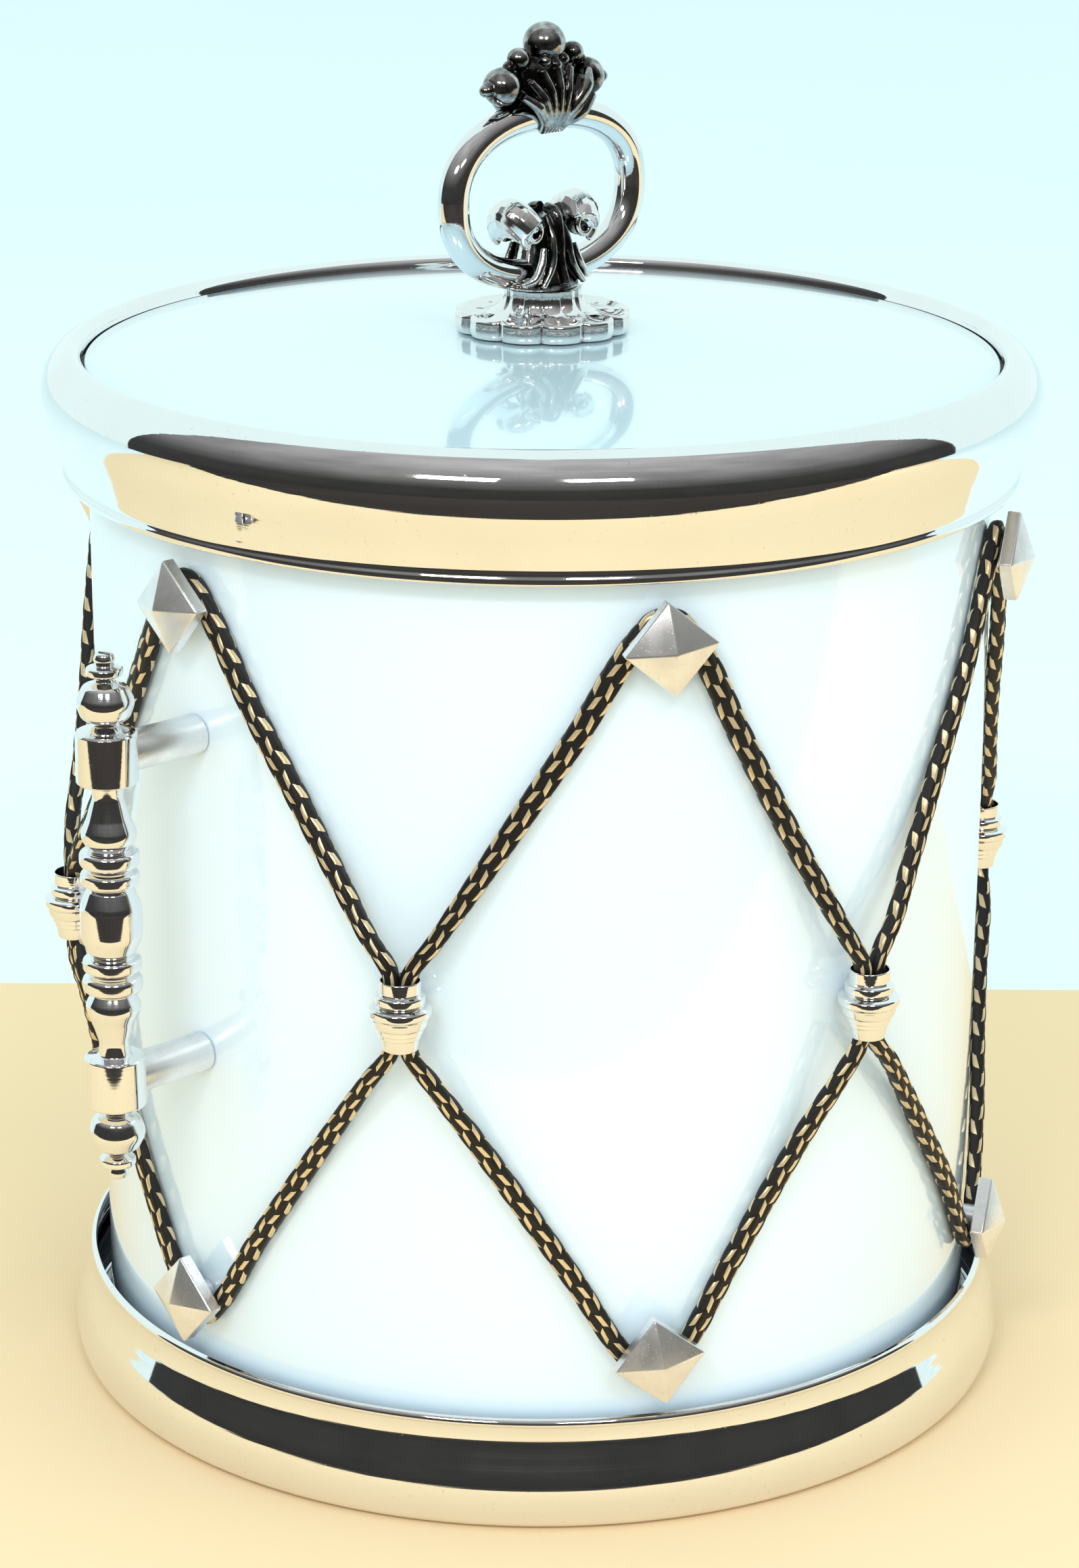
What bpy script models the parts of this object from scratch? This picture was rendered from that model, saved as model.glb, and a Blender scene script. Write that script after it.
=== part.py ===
"""Drum-shaped ice bucket: corded body with two spindle handles, and a lid with a ring knob.

Metres, +Z up. The origin is on the table under the middle of the body, and the handles lie on X.
An azimuth is in degrees from -Y towards +X.
"""
import math

import bmesh
import bpy
from mathutils import Matrix, Vector

MM = 0.001
GAP = 0.3 * MM              # clearance between pieces that touch

# Driving dimensions
BODY_R = 107 * MM           # outside of the vinyl
BODY_TOP = 234 * MM         # top edge of shell and vinyl
BOARD_BOTTOM = 3.1 * MM     # underside of the base board
BOARD_TOP = 6.8 * MM
VINYL_T = 1 * MM
SHELL_T = 3 * MM
SHEET_T = 1 * MM            # metal of both chrome bands
PANEL_R = 107.5 * MM        # lid panel
PANEL_EDGE_Z = 248.5 * MM
PANEL_DOME = 5.7 * MM
PANEL_T = 3.5 * MM

SITES = 6                   # stud pairs round the body, one sleeve between each two
STUD_STEP = 360 / SITES
STUD_TOP_Z = 207.9 * MM
STUD_BOTTOM_Z = 40.9 * MM
STUD_SIDE = 15 * MM       # side of the square block, which stands on its corner
STUD_BACK = 4.8 * MM        # block's back, off the wall
STUD_FRONT = 8 * MM         # block's front
STUD_APEX = 11.9 * MM
STUD_POST_R = 3 * MM
STUD_SHANK_R = 1.6 * MM
STUD_SHANK_IN = 6.5 * MM    # how far the shank goes in from the vinyl

CORD_R = 1.95 * MM
SLEEVE_R = 7 * MM           # widest ring of a sleeve
SLEEVE_HALF = 8.15 * MM
SLEEVE_BORE_R = 4.45 * MM
SLEEVE_AXIS_R = BODY_R + SLEEVE_R + 0.4 * MM
CORD_WALL_R = BODY_R + GAP + CORD_R
CORD_PAIR = 2.1 * MM        # each cord's offset from the sleeve's axis
CORD_CLEAR = 0.7 * MM       # straight cord beyond a sleeve's end before it turns
# Each sleeve's turn from midway between its studs, in degrees, and its height
SLEEVE_PLACES = [(0.5, 124.3 * MM), (-3.6, 118.8 * MM)] + [(0, 120 * MM)] * 4

HANDLE_R = 132.5 * MM       # spindle axis from the middle
HANDLE_Z = 139.2 * MM
POST_REACH = 38.1 * MM      # from the handle's middle to each post
POST_R = 4.6 * MM
POST_END = 3 * MM           # how far a post enters its block
BLOCK_R = 6.9 * MM
SCREW_R = 1.7 * MM
SCREW_LENGTH = 17 * MM
SCREW_RECESS = 3 * MM       # how much less deep the post's hole is than the screw is long
BASE_SCREW_R = 1.3 * MM
BASE_SCREW_TOP = 6.1 * MM
BASE_SCREW_RING = 102.2 * MM

FOOT_TOP = 264 * MM         # where the ring's neck stands on its foot
FOOT_LOBES = 12
FOOT_WAVE = 0.06            # depth of the notches between lobes, as a share of the radius
FOOT_ROUND_R = 15 * MM      # the foot is round inside this radius
RING_Z = 286.1 * MM         # middle of the ring
RING_WIDE = 28.5 * MM       # half width of the ring's centre line
RING_TALL = 18.4 * MM       # half height
RING_POWER = 2.3            # above 2 squares the oval a little
RING_TUBE_R = 3.65 * MM
RING_POINTS = 24
KNOB_BORE_R = 2.6 * MM

COARSE = 32                 # steps round the big pieces, all alike so that their facets nest
FINE = 12                   # steps round the small ones
HOLE_SIDES = 8
TURN_STEPS = 5              # straight bits in a cord's turn round a post


def clear_scene():
    for obj in list(bpy.data.objects):
        bpy.data.objects.remove(obj, do_unlink=True)


def collection(name):
    made = bpy.data.collections.new(name)
    bpy.context.scene.collection.children.link(made)
    return made


def finish(name, colour, roughness, metallic=0.0):
    made = bpy.data.materials.new(name)
    made.use_nodes = True
    shader = made.node_tree.nodes["Principled BSDF"]
    shader.inputs["Base Color"].default_value = (*colour, 1)
    shader.inputs["Roughness"].default_value = roughness
    shader.inputs["Metallic"].default_value = metallic
    return made


def polar(radius, azimuth, z):
    angle = math.radians(azimuth)
    return Vector((radius * math.sin(angle), -radius * math.cos(angle), z))


def facing(azimuth, radius, z):
    """Matrix that turns a piece made at the origin, with its outward side along -Y, to its place."""
    return Matrix.Translation(polar(radius, azimuth, z)) @ Matrix.Rotation(math.radians(azimuth), 4, "Z")


def place(obj, where, look, home):
    home.objects.link(obj)
    obj.matrix_world = where
    obj.data.materials.clear()
    obj.data.materials.append(look)
    return obj


def outline_mesh(name, points, closed):
    mesh = bpy.data.meshes.new(name)
    edges = [(i, i + 1) for i in range(len(points) - 1)]
    if closed:
        edges.append((len(points) - 1, 0))
    mesh.from_pydata([(r, 0, z) for r, z in points], edges, [])
    return mesh


def turned(name, points, look, home, steps=COARSE, where=Matrix.Identity(4)):
    """A piece turned about Z from (radius, height) points that run down its outer side."""
    closed = min(r for r, _ in points) > 0
    obj = place(bpy.data.objects.new(name, outline_mesh(name, points, closed)), where, look, home)
    screw = obj.modifiers.new("Turn", "SCREW")
    screw.steps = steps
    screw.render_steps = steps
    screw.use_merge_vertices = True
    screw.merge_threshold = 0.00001
    screw.use_smooth_shade = steps > 4
    return obj


def strip(points, thickness):
    """Outline of a bent sheet whose outer face runs through the points."""
    inner = []
    for i, (r, z) in enumerate(points):
        before = points[max(i - 1, 0)]
        after = points[min(i + 1, len(points) - 1)]
        run = Vector((after[0] - before[0], after[1] - before[1])).normalized()
        inner.append((r + run.y * thickness, z - run.x * thickness))
    return points + inner[::-1]


def mm(points):
    return [(r * MM, z * MM) for r, z in points]


def evaluated_mesh(obj, name):
    """The object's shape with its modifiers, in world space, as a new mesh without doubles."""
    depsgraph = bpy.context.evaluated_depsgraph_get()
    mesh = bpy.data.meshes.new_from_object(obj.evaluated_get(depsgraph))
    mesh.name = name
    mesh.transform(obj.matrix_world)
    work = bmesh.new()
    work.from_mesh(mesh)
    bmesh.ops.remove_doubles(work, verts=work.verts, dist=0.000001)
    work.to_mesh(mesh)
    work.free()
    return mesh


def cylinder_between(work, start, end, radius, sides):
    """Adds a closed cylinder to a bmesh."""
    along = end - start
    turn = Vector((0, 0, 1)).rotation_difference(along).to_matrix().to_4x4()
    bmesh.ops.create_cone(work, cap_ends=True, segments=sides, radius1=radius, radius2=radius,
                          depth=along.length,
                          matrix=Matrix.Translation((start + end) / 2) @ turn)


def hide(obj):
    obj.hide_render = True
    obj.display_type = "WIRE"


def tool(name, build, home):
    """A hidden object that other pieces are cut or joined with."""
    work = bmesh.new()
    build(work)
    mesh = bpy.data.meshes.new(name)
    work.to_mesh(mesh)
    work.free()
    obj = bpy.data.objects.new(name, mesh)
    home.objects.link(obj)
    hide(obj)
    return obj


def combine(obj, other, operation):
    step = obj.modifiers.new(operation.title(), "BOOLEAN")
    step.operation = operation
    step.object = other


def stud_sites():
    """Azimuth of each column of studs, from the left handle's round the front."""
    return [-90 + STUD_STEP * i for i in range(SITES)]


def sleeve_sites():
    """Azimuth and height of the sleeve after each column of studs."""
    sites = []
    for azimuth, (shift, z) in zip(stud_sites(), SLEEVE_PLACES):
        sites.append((azimuth + STUD_STEP / 2 + shift, z))
    return sites


def handle_sites():
    return [("handle_left", -90), ("handle_right", 90)]


def post_levels():
    return [("upper", HANDLE_Z + POST_REACH), ("lower", HANDLE_Z - POST_REACH)]


# Body

def wall_holes(home):
    """Holes through shell and vinyl for the studs' shanks and the handles' screws."""
    holes = [(azimuth, z, STUD_SHANK_R) for azimuth in stud_sites() for z in (STUD_TOP_Z, STUD_BOTTOM_Z)]
    holes += [(azimuth, z, SCREW_R) for _, azimuth in handle_sites() for _, z in post_levels()]

    def build(work):
        for azimuth, z, radius in holes:
            cylinder_between(work, polar(BODY_R - 11 * MM, azimuth, z), polar(BODY_R + 5 * MM, azimuth, z),
                             radius + GAP, HOLE_SIDES)
    return tool("wall_hole_cutter", build, home)


def seam_slot(home):
    """The butt joint of the vinyl, up the back."""
    def build(work):
        height = BODY_TOP + 20 * MM
        size = Matrix.Diagonal((0.5 * MM, 4 * MM, height, 1))
        bmesh.ops.create_cube(work, matrix=Matrix.Translation((0, BODY_R, height / 2 - 5 * MM)) @ size)
    return tool("seam_cutter", build, home)


def make_walls(looks, home, cutters):
    holes = wall_holes(cutters)
    shell_r = BODY_R - VINYL_T - GAP
    shell = turned("drum_shell", [(shell_r, BODY_TOP), (shell_r, BOARD_TOP + GAP),
                                  (shell_r - SHELL_T, BOARD_TOP + GAP), (shell_r - SHELL_T, BODY_TOP)],
                   looks["fibreboard"], home)
    combine(shell, holes, "DIFFERENCE")
    vinyl = turned("vinyl_wrap", [(BODY_R, BODY_TOP), (BODY_R, BOARD_BOTTOM),
                                  (BODY_R - VINYL_T, BOARD_BOTTOM), (BODY_R - VINYL_T, BODY_TOP)],
                   looks["vinyl"], home)
    combine(vinyl, holes, "DIFFERENCE")
    combine(vinyl, seam_slot(cutters), "DIFFERENCE")


def make_inside(looks, home):
    turned("wall_insulation", mm([(99, 233.7), (99, 7.1), (88.2, 7.1), (88.2, 20), (93, 233.7)]),
           looks["foam"], home)
    turned("floor_insulation", mm([(0, 16.7), (87.8, 16.7), (87.8, 7.1), (0, 7.1)]), looks["foam"],
           home)
    turned("liner", mm([(0, 18.8), (84, 18.8), (85.6, 21), (90.5, 236.3), (108.3, 236.3), (108.3, 230),
                        (107.3, 230), (107.3, 234.3), (92.3, 234.3), (87, 20), (85, 17), (0, 17)]),
           looks["plastic"], home)


def make_base(looks, home, cutters):
    face = mm([(110.8, 26.4), (111.9, 25.2), (111.7, 23), (113.9, 16), (115.8, 9), (115.7, 4),
               (114.2, 0.8), (112.3, 0), (108.6, 0), (106.4, 1.6), (98, 1.6)])
    band = turned("base_band", strip(face, SHEET_T), looks["chrome"], home)
    board_r = BODY_R - VINYL_T - GAP
    board = turned("base_board", [(0, BOARD_TOP), (board_r, BOARD_TOP), (board_r, BOARD_BOTTOM),
                                  (0, BOARD_BOTTOM)], looks["fibreboard"], home)
    turned("base_felt", mm([(0, 2.7), (97.2, 2.7), (97.2, 1.7), (0, 1.7)]), looks["felt"], home)
    spots = [polar(BASE_SCREW_RING, azimuth, 0) for azimuth in (45, 135, 225, 315)]

    def build(work):
        for spot in spots:
            cylinder_between(work, spot, spot + Vector((0, 0, BASE_SCREW_TOP + GAP)),
                             BASE_SCREW_R + GAP, HOLE_SIDES)
    holes = tool("base_hole_cutter", build, cutters)
    combine(band, holes, "DIFFERENCE")
    combine(board, holes, "DIFFERENCE")
    outline = [(0, BASE_SCREW_TOP), (BASE_SCREW_R, BASE_SCREW_TOP), (BASE_SCREW_R, 1.3 * MM),
               (3 * MM, 1.3 * MM), (3 * MM, 0.5 * MM), (0, 0.5 * MM)]
    for i, spot in enumerate(spots):
        turned(f"base_screw_{i + 1}", outline, looks["steel"], home, HOLE_SIDES, Matrix.Translation(spot))


# Studs, sleeves and cords

def stud_mesh(look, cutters):
    """One stud with its apex towards -Y and the wall at the origin."""
    half_diagonal = STUD_SIDE / math.sqrt(2)
    head = turned("stud_head", [(0, STUD_APEX), (half_diagonal, STUD_FRONT), (half_diagonal, STUD_BACK),
                                (0, STUD_BACK)], look, cutters, 4)
    shank = turned("stud_shank", [(0, STUD_FRONT), (STUD_POST_R, STUD_FRONT), (STUD_POST_R, GAP),
                                  (STUD_SHANK_R, GAP), (STUD_SHANK_R, -STUD_SHANK_IN),
                                  (0, -STUD_SHANK_IN)], look, cutters, HOLE_SIDES)
    hide(head)
    hide(shank)
    combine(head, shank, "UNION")
    mesh = evaluated_mesh(head, "stud")
    mesh.transform(Matrix.Rotation(math.radians(90), 4, "X"))
    return mesh


def make_studs(looks, home, cutters):
    mesh = stud_mesh(looks["cast"], cutters)
    for i, azimuth in enumerate(stud_sites()):
        for level, z in (("top", STUD_TOP_Z), ("bottom", STUD_BOTTOM_Z)):
            stud = bpy.data.objects.new(f"stud_{level}_{i + 1}", mesh)
            place(stud, facing(azimuth, BODY_R, z), looks["cast"], home)


def make_sleeves(looks, home):
    skin = mm([(4.95, 8.15), (4.9, 5.2), (5.6, 4.3), (5.6, 2.9), (7, 1.6), (6.9, -0.2), (5.7, -2.8),
               (5.2, -4.6), (5, -7.2), (4.85, -8.15)])
    points = skin + [(SLEEVE_BORE_R, -SLEEVE_HALF), (SLEEVE_BORE_R, SLEEVE_HALF)]
    for i, (azimuth, z) in enumerate(sleeve_sites()):
        turned(f"cord_sleeve_{i + 1}", points, looks["chrome"], home, FINE,
               Matrix.Translation(polar(SLEEVE_AXIS_R, azimuth, z)))


def wrap_radius():
    return STUD_POST_R + GAP + CORD_R


def leave_angle(centre_z, side, target):
    """Angle on a post at which the straight leg to or from the target touches the cord's turn."""
    across, up = target[0], target[1] - centre_z
    return math.atan2(up, across) + side * math.acos(wrap_radius() / math.hypot(across, up))


def turn_round(centre_z, start, end):
    """Clockwise turn round the post at a height, between the legs from start and to end."""
    first = leave_angle(centre_z, -1, start)
    sweep = (first - leave_angle(centre_z, 1, end)) % math.tau
    angles = [first - sweep * i / TURN_STEPS for i in range(TURN_STEPS + 1)]
    return [(wrap_radius() * math.cos(a), centre_z + wrap_radius() * math.sin(a), CORD_WALL_R)
            for a in angles]


def leg(start, end, lifts):
    """Points of a straight leg, with how far each is lifted from the wall to the sleeve's axis."""
    rise = SLEEVE_AXIS_R - CORD_WALL_R
    return [(start[0] + (end[0] - start[0]) * t, start[1] + (end[1] - start[1]) * t,
             CORD_WALL_R + rise * lift) for t, lift in lifts]


def loop_route(azimuth, left, right):
    """A closed cord round one top and one bottom post and through the sleeves on either side.

    Worked out on the unrolled wall as (distance along the wall, height, radius).
    """
    scale = math.radians(1) * CORD_WALL_R
    pair = CORD_PAIR * CORD_WALL_R / SLEEVE_AXIS_R
    middles = []
    for side, (sleeve_azimuth, z) in ((1, right), (-1, left)):
        turn = (sleeve_azimuth - azimuth + 180) % 360 - 180
        middles.append((turn * scale - side * pair, z))
    (right_u, right_z), (left_u, left_z) = middles
    reach = SLEEVE_HALF + CORD_CLEAR
    top = turn_round(STUD_TOP_Z, (left_u, left_z + reach), (right_u, right_z + reach))
    bottom = turn_round(STUD_BOTTOM_Z, (right_u, right_z - reach), (left_u, left_z - reach))
    out = [(0.3, 0), (0.55, 0.06), (0.75, 0.4), (0.9, 0.85), (1, 1)]
    back = [(1 - t, lift) for t, lift in reversed(out[:-1])]
    points = []
    for start, (u, z), end, heading in ((top, middles[0], bottom, -1), (bottom, middles[1], top, 1)):
        points += start
        points += leg(start[-1], (u, z - heading * reach), out)
        points += [(u, z, SLEEVE_AXIS_R), (u, z + heading * reach, SLEEVE_AXIS_R)]
        points += leg((u, z + heading * reach), end[0], back)
    return [polar(r, azimuth + u / scale, z) for u, z, r in points]


def make_cords(looks, home):
    sleeves = sleeve_sites()
    for i, azimuth in enumerate(stud_sites()):
        route = loop_route(azimuth, sleeves[i - 1], sleeves[i])
        curve = bpy.data.curves.new(f"cord_loop_{i + 1}", "CURVE")
        curve.dimensions = "3D"
        curve.bevel_depth = CORD_R
        curve.bevel_resolution = 2
        curve.use_fill_caps = True
        spline = curve.splines.new("POLY")
        spline.points.add(len(route) - 1)
        for point, co in zip(spline.points, route):
            point.co = (*co, 1)
        spline.use_cyclic_u = True
        place(bpy.data.objects.new(f"cord_loop_{i + 1}", curve), Matrix.Identity(4), looks["cord"], home)


# Handles

def spindle_outline():
    """Half the spindle from its middle up, then mirrored. It closes on the axis at both tips."""
    upper = mm([(6.95, 0), (6.2, 5.5), (4.6, 8.2), (6.1, 10), (4.6, 11.8), (6.7, 14.8), (4.4, 16.8),
                (5.75, 20.2), (4.6, 24.5), (3.4, 28.9), (3.7, 32), (6.9, 32.5), (6.9, 43.7), (4.4, 44.4),
                (2.9, 46), (4.8, 48), (5.65, 50.8), (4.3, 54), (2.2, 55.6), (3.9, 57.8), (2.1, 59),
                (2, 60.8), (0, 62)])
    lower = [(r, -z) for r, z in upper[1:]]
    return upper[::-1] + lower


def make_handles(looks, home, cutters):
    for name, azimuth in handle_sites():
        spindle = turned(f"{name}_spindle", spindle_outline(), looks["chrome"], home, FINE,
                         facing(azimuth, HANDLE_R, HANDLE_Z))
        inner = BODY_R + GAP
        outer = HANDLE_R - BLOCK_R + POST_END

        def build(work):
            for _, z in post_levels():
                cylinder_between(work, polar(inner, azimuth, z), polar(outer + GAP, azimuth, z),
                                 POST_R + GAP, 16)
        combine(spindle, tool(f"{name}_socket_cutter", build, cutters), "DIFFERENCE")
        length = outer - inner
        hole_end = SCREW_LENGTH - SCREW_RECESS
        outline = [(0, length), (POST_R, length), (POST_R, 0), (SCREW_R + GAP, 0),
                   (SCREW_R + GAP, hole_end), (0, hole_end)]
        lying = Matrix.Rotation(math.radians(90), 4, "X")
        for level, z in post_levels():
            turned(f"{name}_post_{level}", outline, looks["chrome"], home, FINE,
                   facing(azimuth, inner, z) @ lying)
            # The head bears on the inside of the shell
            head = BODY_R - VINYL_T - GAP - SHELL_T - 2 * GAP
            turned(f"{name}_screw_{level}",
                   [(0, SCREW_LENGTH), (SCREW_R, SCREW_LENGTH), (SCREW_R, 0), (3.6 * MM, 0),
                    (3.2 * MM, -2 * MM), (0, -2 * MM)],
                   looks["steel"], home, HOLE_SIDES, facing(azimuth, head, z) @ lying)


# Lid

def dome(radius):
    return PANEL_EDGE_Z + PANEL_DOME * (1 - (radius / PANEL_R) ** 2)


def make_lid(looks, home):
    face = mm([(107.9, 248.4), (111.2, 251.5), (114.8, 250.4), (117.2, 247.2), (117.9, 243.8),
               (117.2, 237.6), (114.5, 230.6), (113, 225.5), (113.2, 223.4), (112.2, 222)])
    turned("lid_band", strip(face, SHEET_T), looks["chrome"], home)
    rings = [KNOB_BORE_R, 45 * MM, 80 * MM, PANEL_R]
    top = [(r, dome(r)) for r in rings]
    bottom = [(r, dome(r) - PANEL_T) for r in reversed(rings)]
    turned("lid_panel", top + bottom, looks["vinyl"], home)
    turned("lid_core", mm([(8, 244.4), (85, 244.4), (85, 228.3), (8, 228.3)]), looks["foam"], home)
    turned("lid_pan", mm([(0, 228), (86, 228), (86, 238.6), (108.2, 238.6), (108.2, 244.7),
                          (110.2, 244.7), (110.2, 238.6), (115.6, 238.6), (115.6, 236.6), (88, 236.6),
                          (87.4, 226), (0, 226)]), looks["plastic"], home)


def make_knob_foot(looks, home):
    foot = turned("knob_foot", mm([(2.6, 264), (9.6, 264), (9.8, 261.4), (12, 259), (17, 257.6),
                                   (20.7, 258.4), (20.7, 254.5), (2.6, 254.5)]),
                  looks["cast"], home, 2 * FOOT_LOBES)
    mesh = evaluated_mesh(foot, "knob_foot")
    for vertex in mesh.vertices:
        x, y, z = vertex.co
        if math.hypot(x, y) > FOOT_ROUND_R:
            wave = FOOT_WAVE * (0.5 - 0.5 * math.cos(FOOT_LOBES * math.atan2(y, x)))
            vertex.co = (x * (1 - wave), y * (1 - wave), z)
    foot.modifiers.clear()
    foot.data = mesh


def superellipse(t):
    def bent(value):
        return math.copysign(abs(value) ** (2 / RING_POWER), value)
    return Vector((RING_WIDE * bent(math.cos(t)), 0, RING_Z + RING_TALL * bent(math.sin(t))))


def ring_mesh(cutters):
    curve = bpy.data.curves.new("ring_guide", "CURVE")
    curve.dimensions = "3D"
    curve.bevel_depth = RING_TUBE_R
    curve.bevel_resolution = 2
    spline = curve.splines.new("POLY")
    spline.points.add(RING_POINTS - 1)
    for i, point in enumerate(spline.points):
        point.co = (*superellipse(math.tau * i / RING_POINTS), 1)
    spline.use_cyclic_u = True
    guide = bpy.data.objects.new("ring_guide", curve)
    cutters.objects.link(guide)
    mesh = evaluated_mesh(guide, "knob_ring")
    bpy.data.objects.remove(guide, do_unlink=True)
    return mesh


def make_knob_ring(looks, home, cutters):
    ring = place(bpy.data.objects.new("knob_ring", ring_mesh(cutters)), Matrix.Identity(4),
                 looks["cast"], home)
    # Finial: middle berry, two pairs of berries and the leaf under them. Collar: lobes and scrolls.
    balls = [(0, 0, 320.8, 5), (0, 0, 276, 7.5)]
    for side in (-1, 1):
        balls += [(side * 8.3, 0, 317, 3.2), (side * 13, 0, 310.6, 4.9), (side * 18.4, 0, 310.2, 1.6),
                  (side * 9.6, 0, 281.6, 4.7)]
        balls += [(side * 7.6, face * 4.6, 277.4, 4) for face in (-1, 1)]

    def leaf(work):
        flat = Matrix.Diagonal((1, 0.62, 1, 1))
        bmesh.ops.create_cone(work, cap_ends=True, segments=10, radius1=4.6 * MM, radius2=10.5 * MM,
                              depth=17 * MM, matrix=Matrix.Translation((0, 0, 309.8 * MM)) @ flat)

    def collar(work):
        bmesh.ops.create_cone(work, cap_ends=True, segments=12, radius1=9.2 * MM, radius2=5 * MM,
                              depth=14 * MM, matrix=Matrix.Translation((0, 0, 271 * MM)))

    def seat(work):
        size = Matrix.Diagonal((90 * MM, 90 * MM, 20 * MM, 1))
        middle = Matrix.Translation((0, 0, FOOT_TOP + GAP - 10 * MM))
        bmesh.ops.create_cube(work, matrix=middle @ size)

    def bore(work):
        cylinder_between(work, Vector((0, 0, 255 * MM)), Vector((0, 0, 272.8 * MM)), KNOB_BORE_R, 10)

    combine(ring, tool("leaf_body", leaf, cutters), "UNION")
    combine(ring, tool("collar_body", collar, cutters), "UNION")
    for i, (x, y, z, radius) in enumerate(balls):
        def ball(work):
            bmesh.ops.create_uvsphere(work, u_segments=8, v_segments=6, radius=radius * MM,
                                      matrix=Matrix.Translation((x * MM, y * MM, z * MM)))
        combine(ring, tool(f"berry_{i + 1}", ball, cutters), "UNION")
    combine(ring, tool("seat_cutter", seat, cutters), "DIFFERENCE")
    combine(ring, tool("bore_cutter", bore, cutters), "DIFFERENCE")


def make_knob_fixings(looks, home):
    turned("knob_screw", mm([(0, 272.2), (2.2, 272.2), (2.2, 249), (4, 249), (3.6, 246.6), (0, 246.6)]),
           looks["steel"], home, 10)
    turned("knob_washer", mm([(7, 250.3), (7, 249.3), (2.6, 249.3), (2.6, 250.3)]), looks["steel"],
           home, 10)


def main():
    clear_scene()
    home = collection("ice_bucket")
    cutters = collection("cutters")
    looks = {
        "vinyl": finish("white_vinyl", (0.86, 0.89, 0.94), 0.12),
        "chrome": finish("polished_chrome", (0.83, 0.83, 0.84), 0.06, 1),
        "cast": finish("plated_casting", (0.72, 0.71, 0.7), 0.22, 1),
        "steel": finish("zinc_screw", (0.6, 0.6, 0.62), 0.4, 1),
        "cord": finish("black_gold_cord", (0.06, 0.05, 0.04), 0.6),
        "plastic": finish("liner_plastic", (0.9, 0.9, 0.88), 0.3),
        "foam": finish("insulation_foam", (0.85, 0.82, 0.7), 0.9),
        "fibreboard": finish("fibreboard", (0.42, 0.3, 0.2), 0.85),
        "felt": finish("base_felt", (0.05, 0.06, 0.05), 0.95),
    }
    make_walls(looks, home, cutters)
    make_inside(looks, home)
    make_base(looks, home, cutters)
    make_studs(looks, home, cutters)
    make_sleeves(looks, home)
    make_cords(looks, home)
    make_handles(looks, home, cutters)
    make_lid(looks, home)
    make_knob_foot(looks, home)
    make_knob_ring(looks, home, cutters)
    make_knob_fixings(looks, home)


main()
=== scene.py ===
"""Looks of a drum-shaped ice bucket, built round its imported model.

Metres, +Z up, with the handles on X. An azimuth is in degrees from -Y towards +X.
"""
import math

import bmesh
import bpy
import numpy as np
from mathutils import Matrix, Vector
from mathutils.bvhtree import BVHTree


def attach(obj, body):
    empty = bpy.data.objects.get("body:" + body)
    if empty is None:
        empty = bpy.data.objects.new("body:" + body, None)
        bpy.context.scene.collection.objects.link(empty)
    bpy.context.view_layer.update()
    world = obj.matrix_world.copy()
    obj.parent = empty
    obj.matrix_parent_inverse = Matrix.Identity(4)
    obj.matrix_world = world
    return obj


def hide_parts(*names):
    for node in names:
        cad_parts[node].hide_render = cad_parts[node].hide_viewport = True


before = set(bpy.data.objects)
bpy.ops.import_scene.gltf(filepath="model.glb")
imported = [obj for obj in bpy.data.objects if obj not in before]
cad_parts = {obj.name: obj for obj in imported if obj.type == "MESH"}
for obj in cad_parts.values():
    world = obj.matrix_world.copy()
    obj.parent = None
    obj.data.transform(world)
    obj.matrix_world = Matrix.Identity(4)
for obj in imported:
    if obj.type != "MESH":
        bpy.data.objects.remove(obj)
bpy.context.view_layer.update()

MM = 0.001

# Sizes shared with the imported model
BODY_R = 107 * MM
WALL_TOP = 234 * MM
WALL_BOTTOM = 3.1 * MM
VINYL_T = 1 * MM
SITES = 6
STUD_STEP = 360 / SITES
STUD_TOP_Z = 207.9 * MM
STUD_BOTTOM_Z = 40.9 * MM
STUD_SIDE = 15 * MM
STUD_BACK = 4.8 * MM
STUD_FRONT = 8 * MM
STUD_APEX = 11.9 * MM
STUD_POST_R = 3 * MM
CORD_R = 1.95 * MM
GAP = 0.3 * MM
SLEEVE_HALF = 8.15 * MM
SLEEVE_AXIS_R = 114.4 * MM
CORD_WALL_R = BODY_R + GAP + CORD_R
CORD_TURN_R = STUD_POST_R + GAP + CORD_R
CORD_PAIR = 2.1 * MM
CORD_CLEAR = 0.7 * MM
SLEEVE_PLACES = [(0.5, 124.3 * MM), (-3.6, 118.8 * MM)] + [(0, 120 * MM)] * 4
TURN_STEPS = 5
HANDLE_R = 132.5 * MM
HANDLE_Z = 139.2 * MM
POST_REACH = 38.1 * MM
POST_R = 4.6 * MM
PANEL_R = 107.5 * MM
PANEL_EDGE_Z = 248.5 * MM
PANEL_DOME = 5.7 * MM
PANEL_T = 3.5 * MM
KNOB_BORE_R = 2.6 * MM
KNOB_SEAT_Z = 264.3 * MM     # where the ring's neck stands on its foot
RING_Z = 286.1 * MM
RING_WIDE = 28.5 * MM
RING_TALL = 18.4 * MM
RING_POWER = 2.3
RING_TUBE_R = 3.65 * MM
FOOT_LOBES = 12

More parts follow.
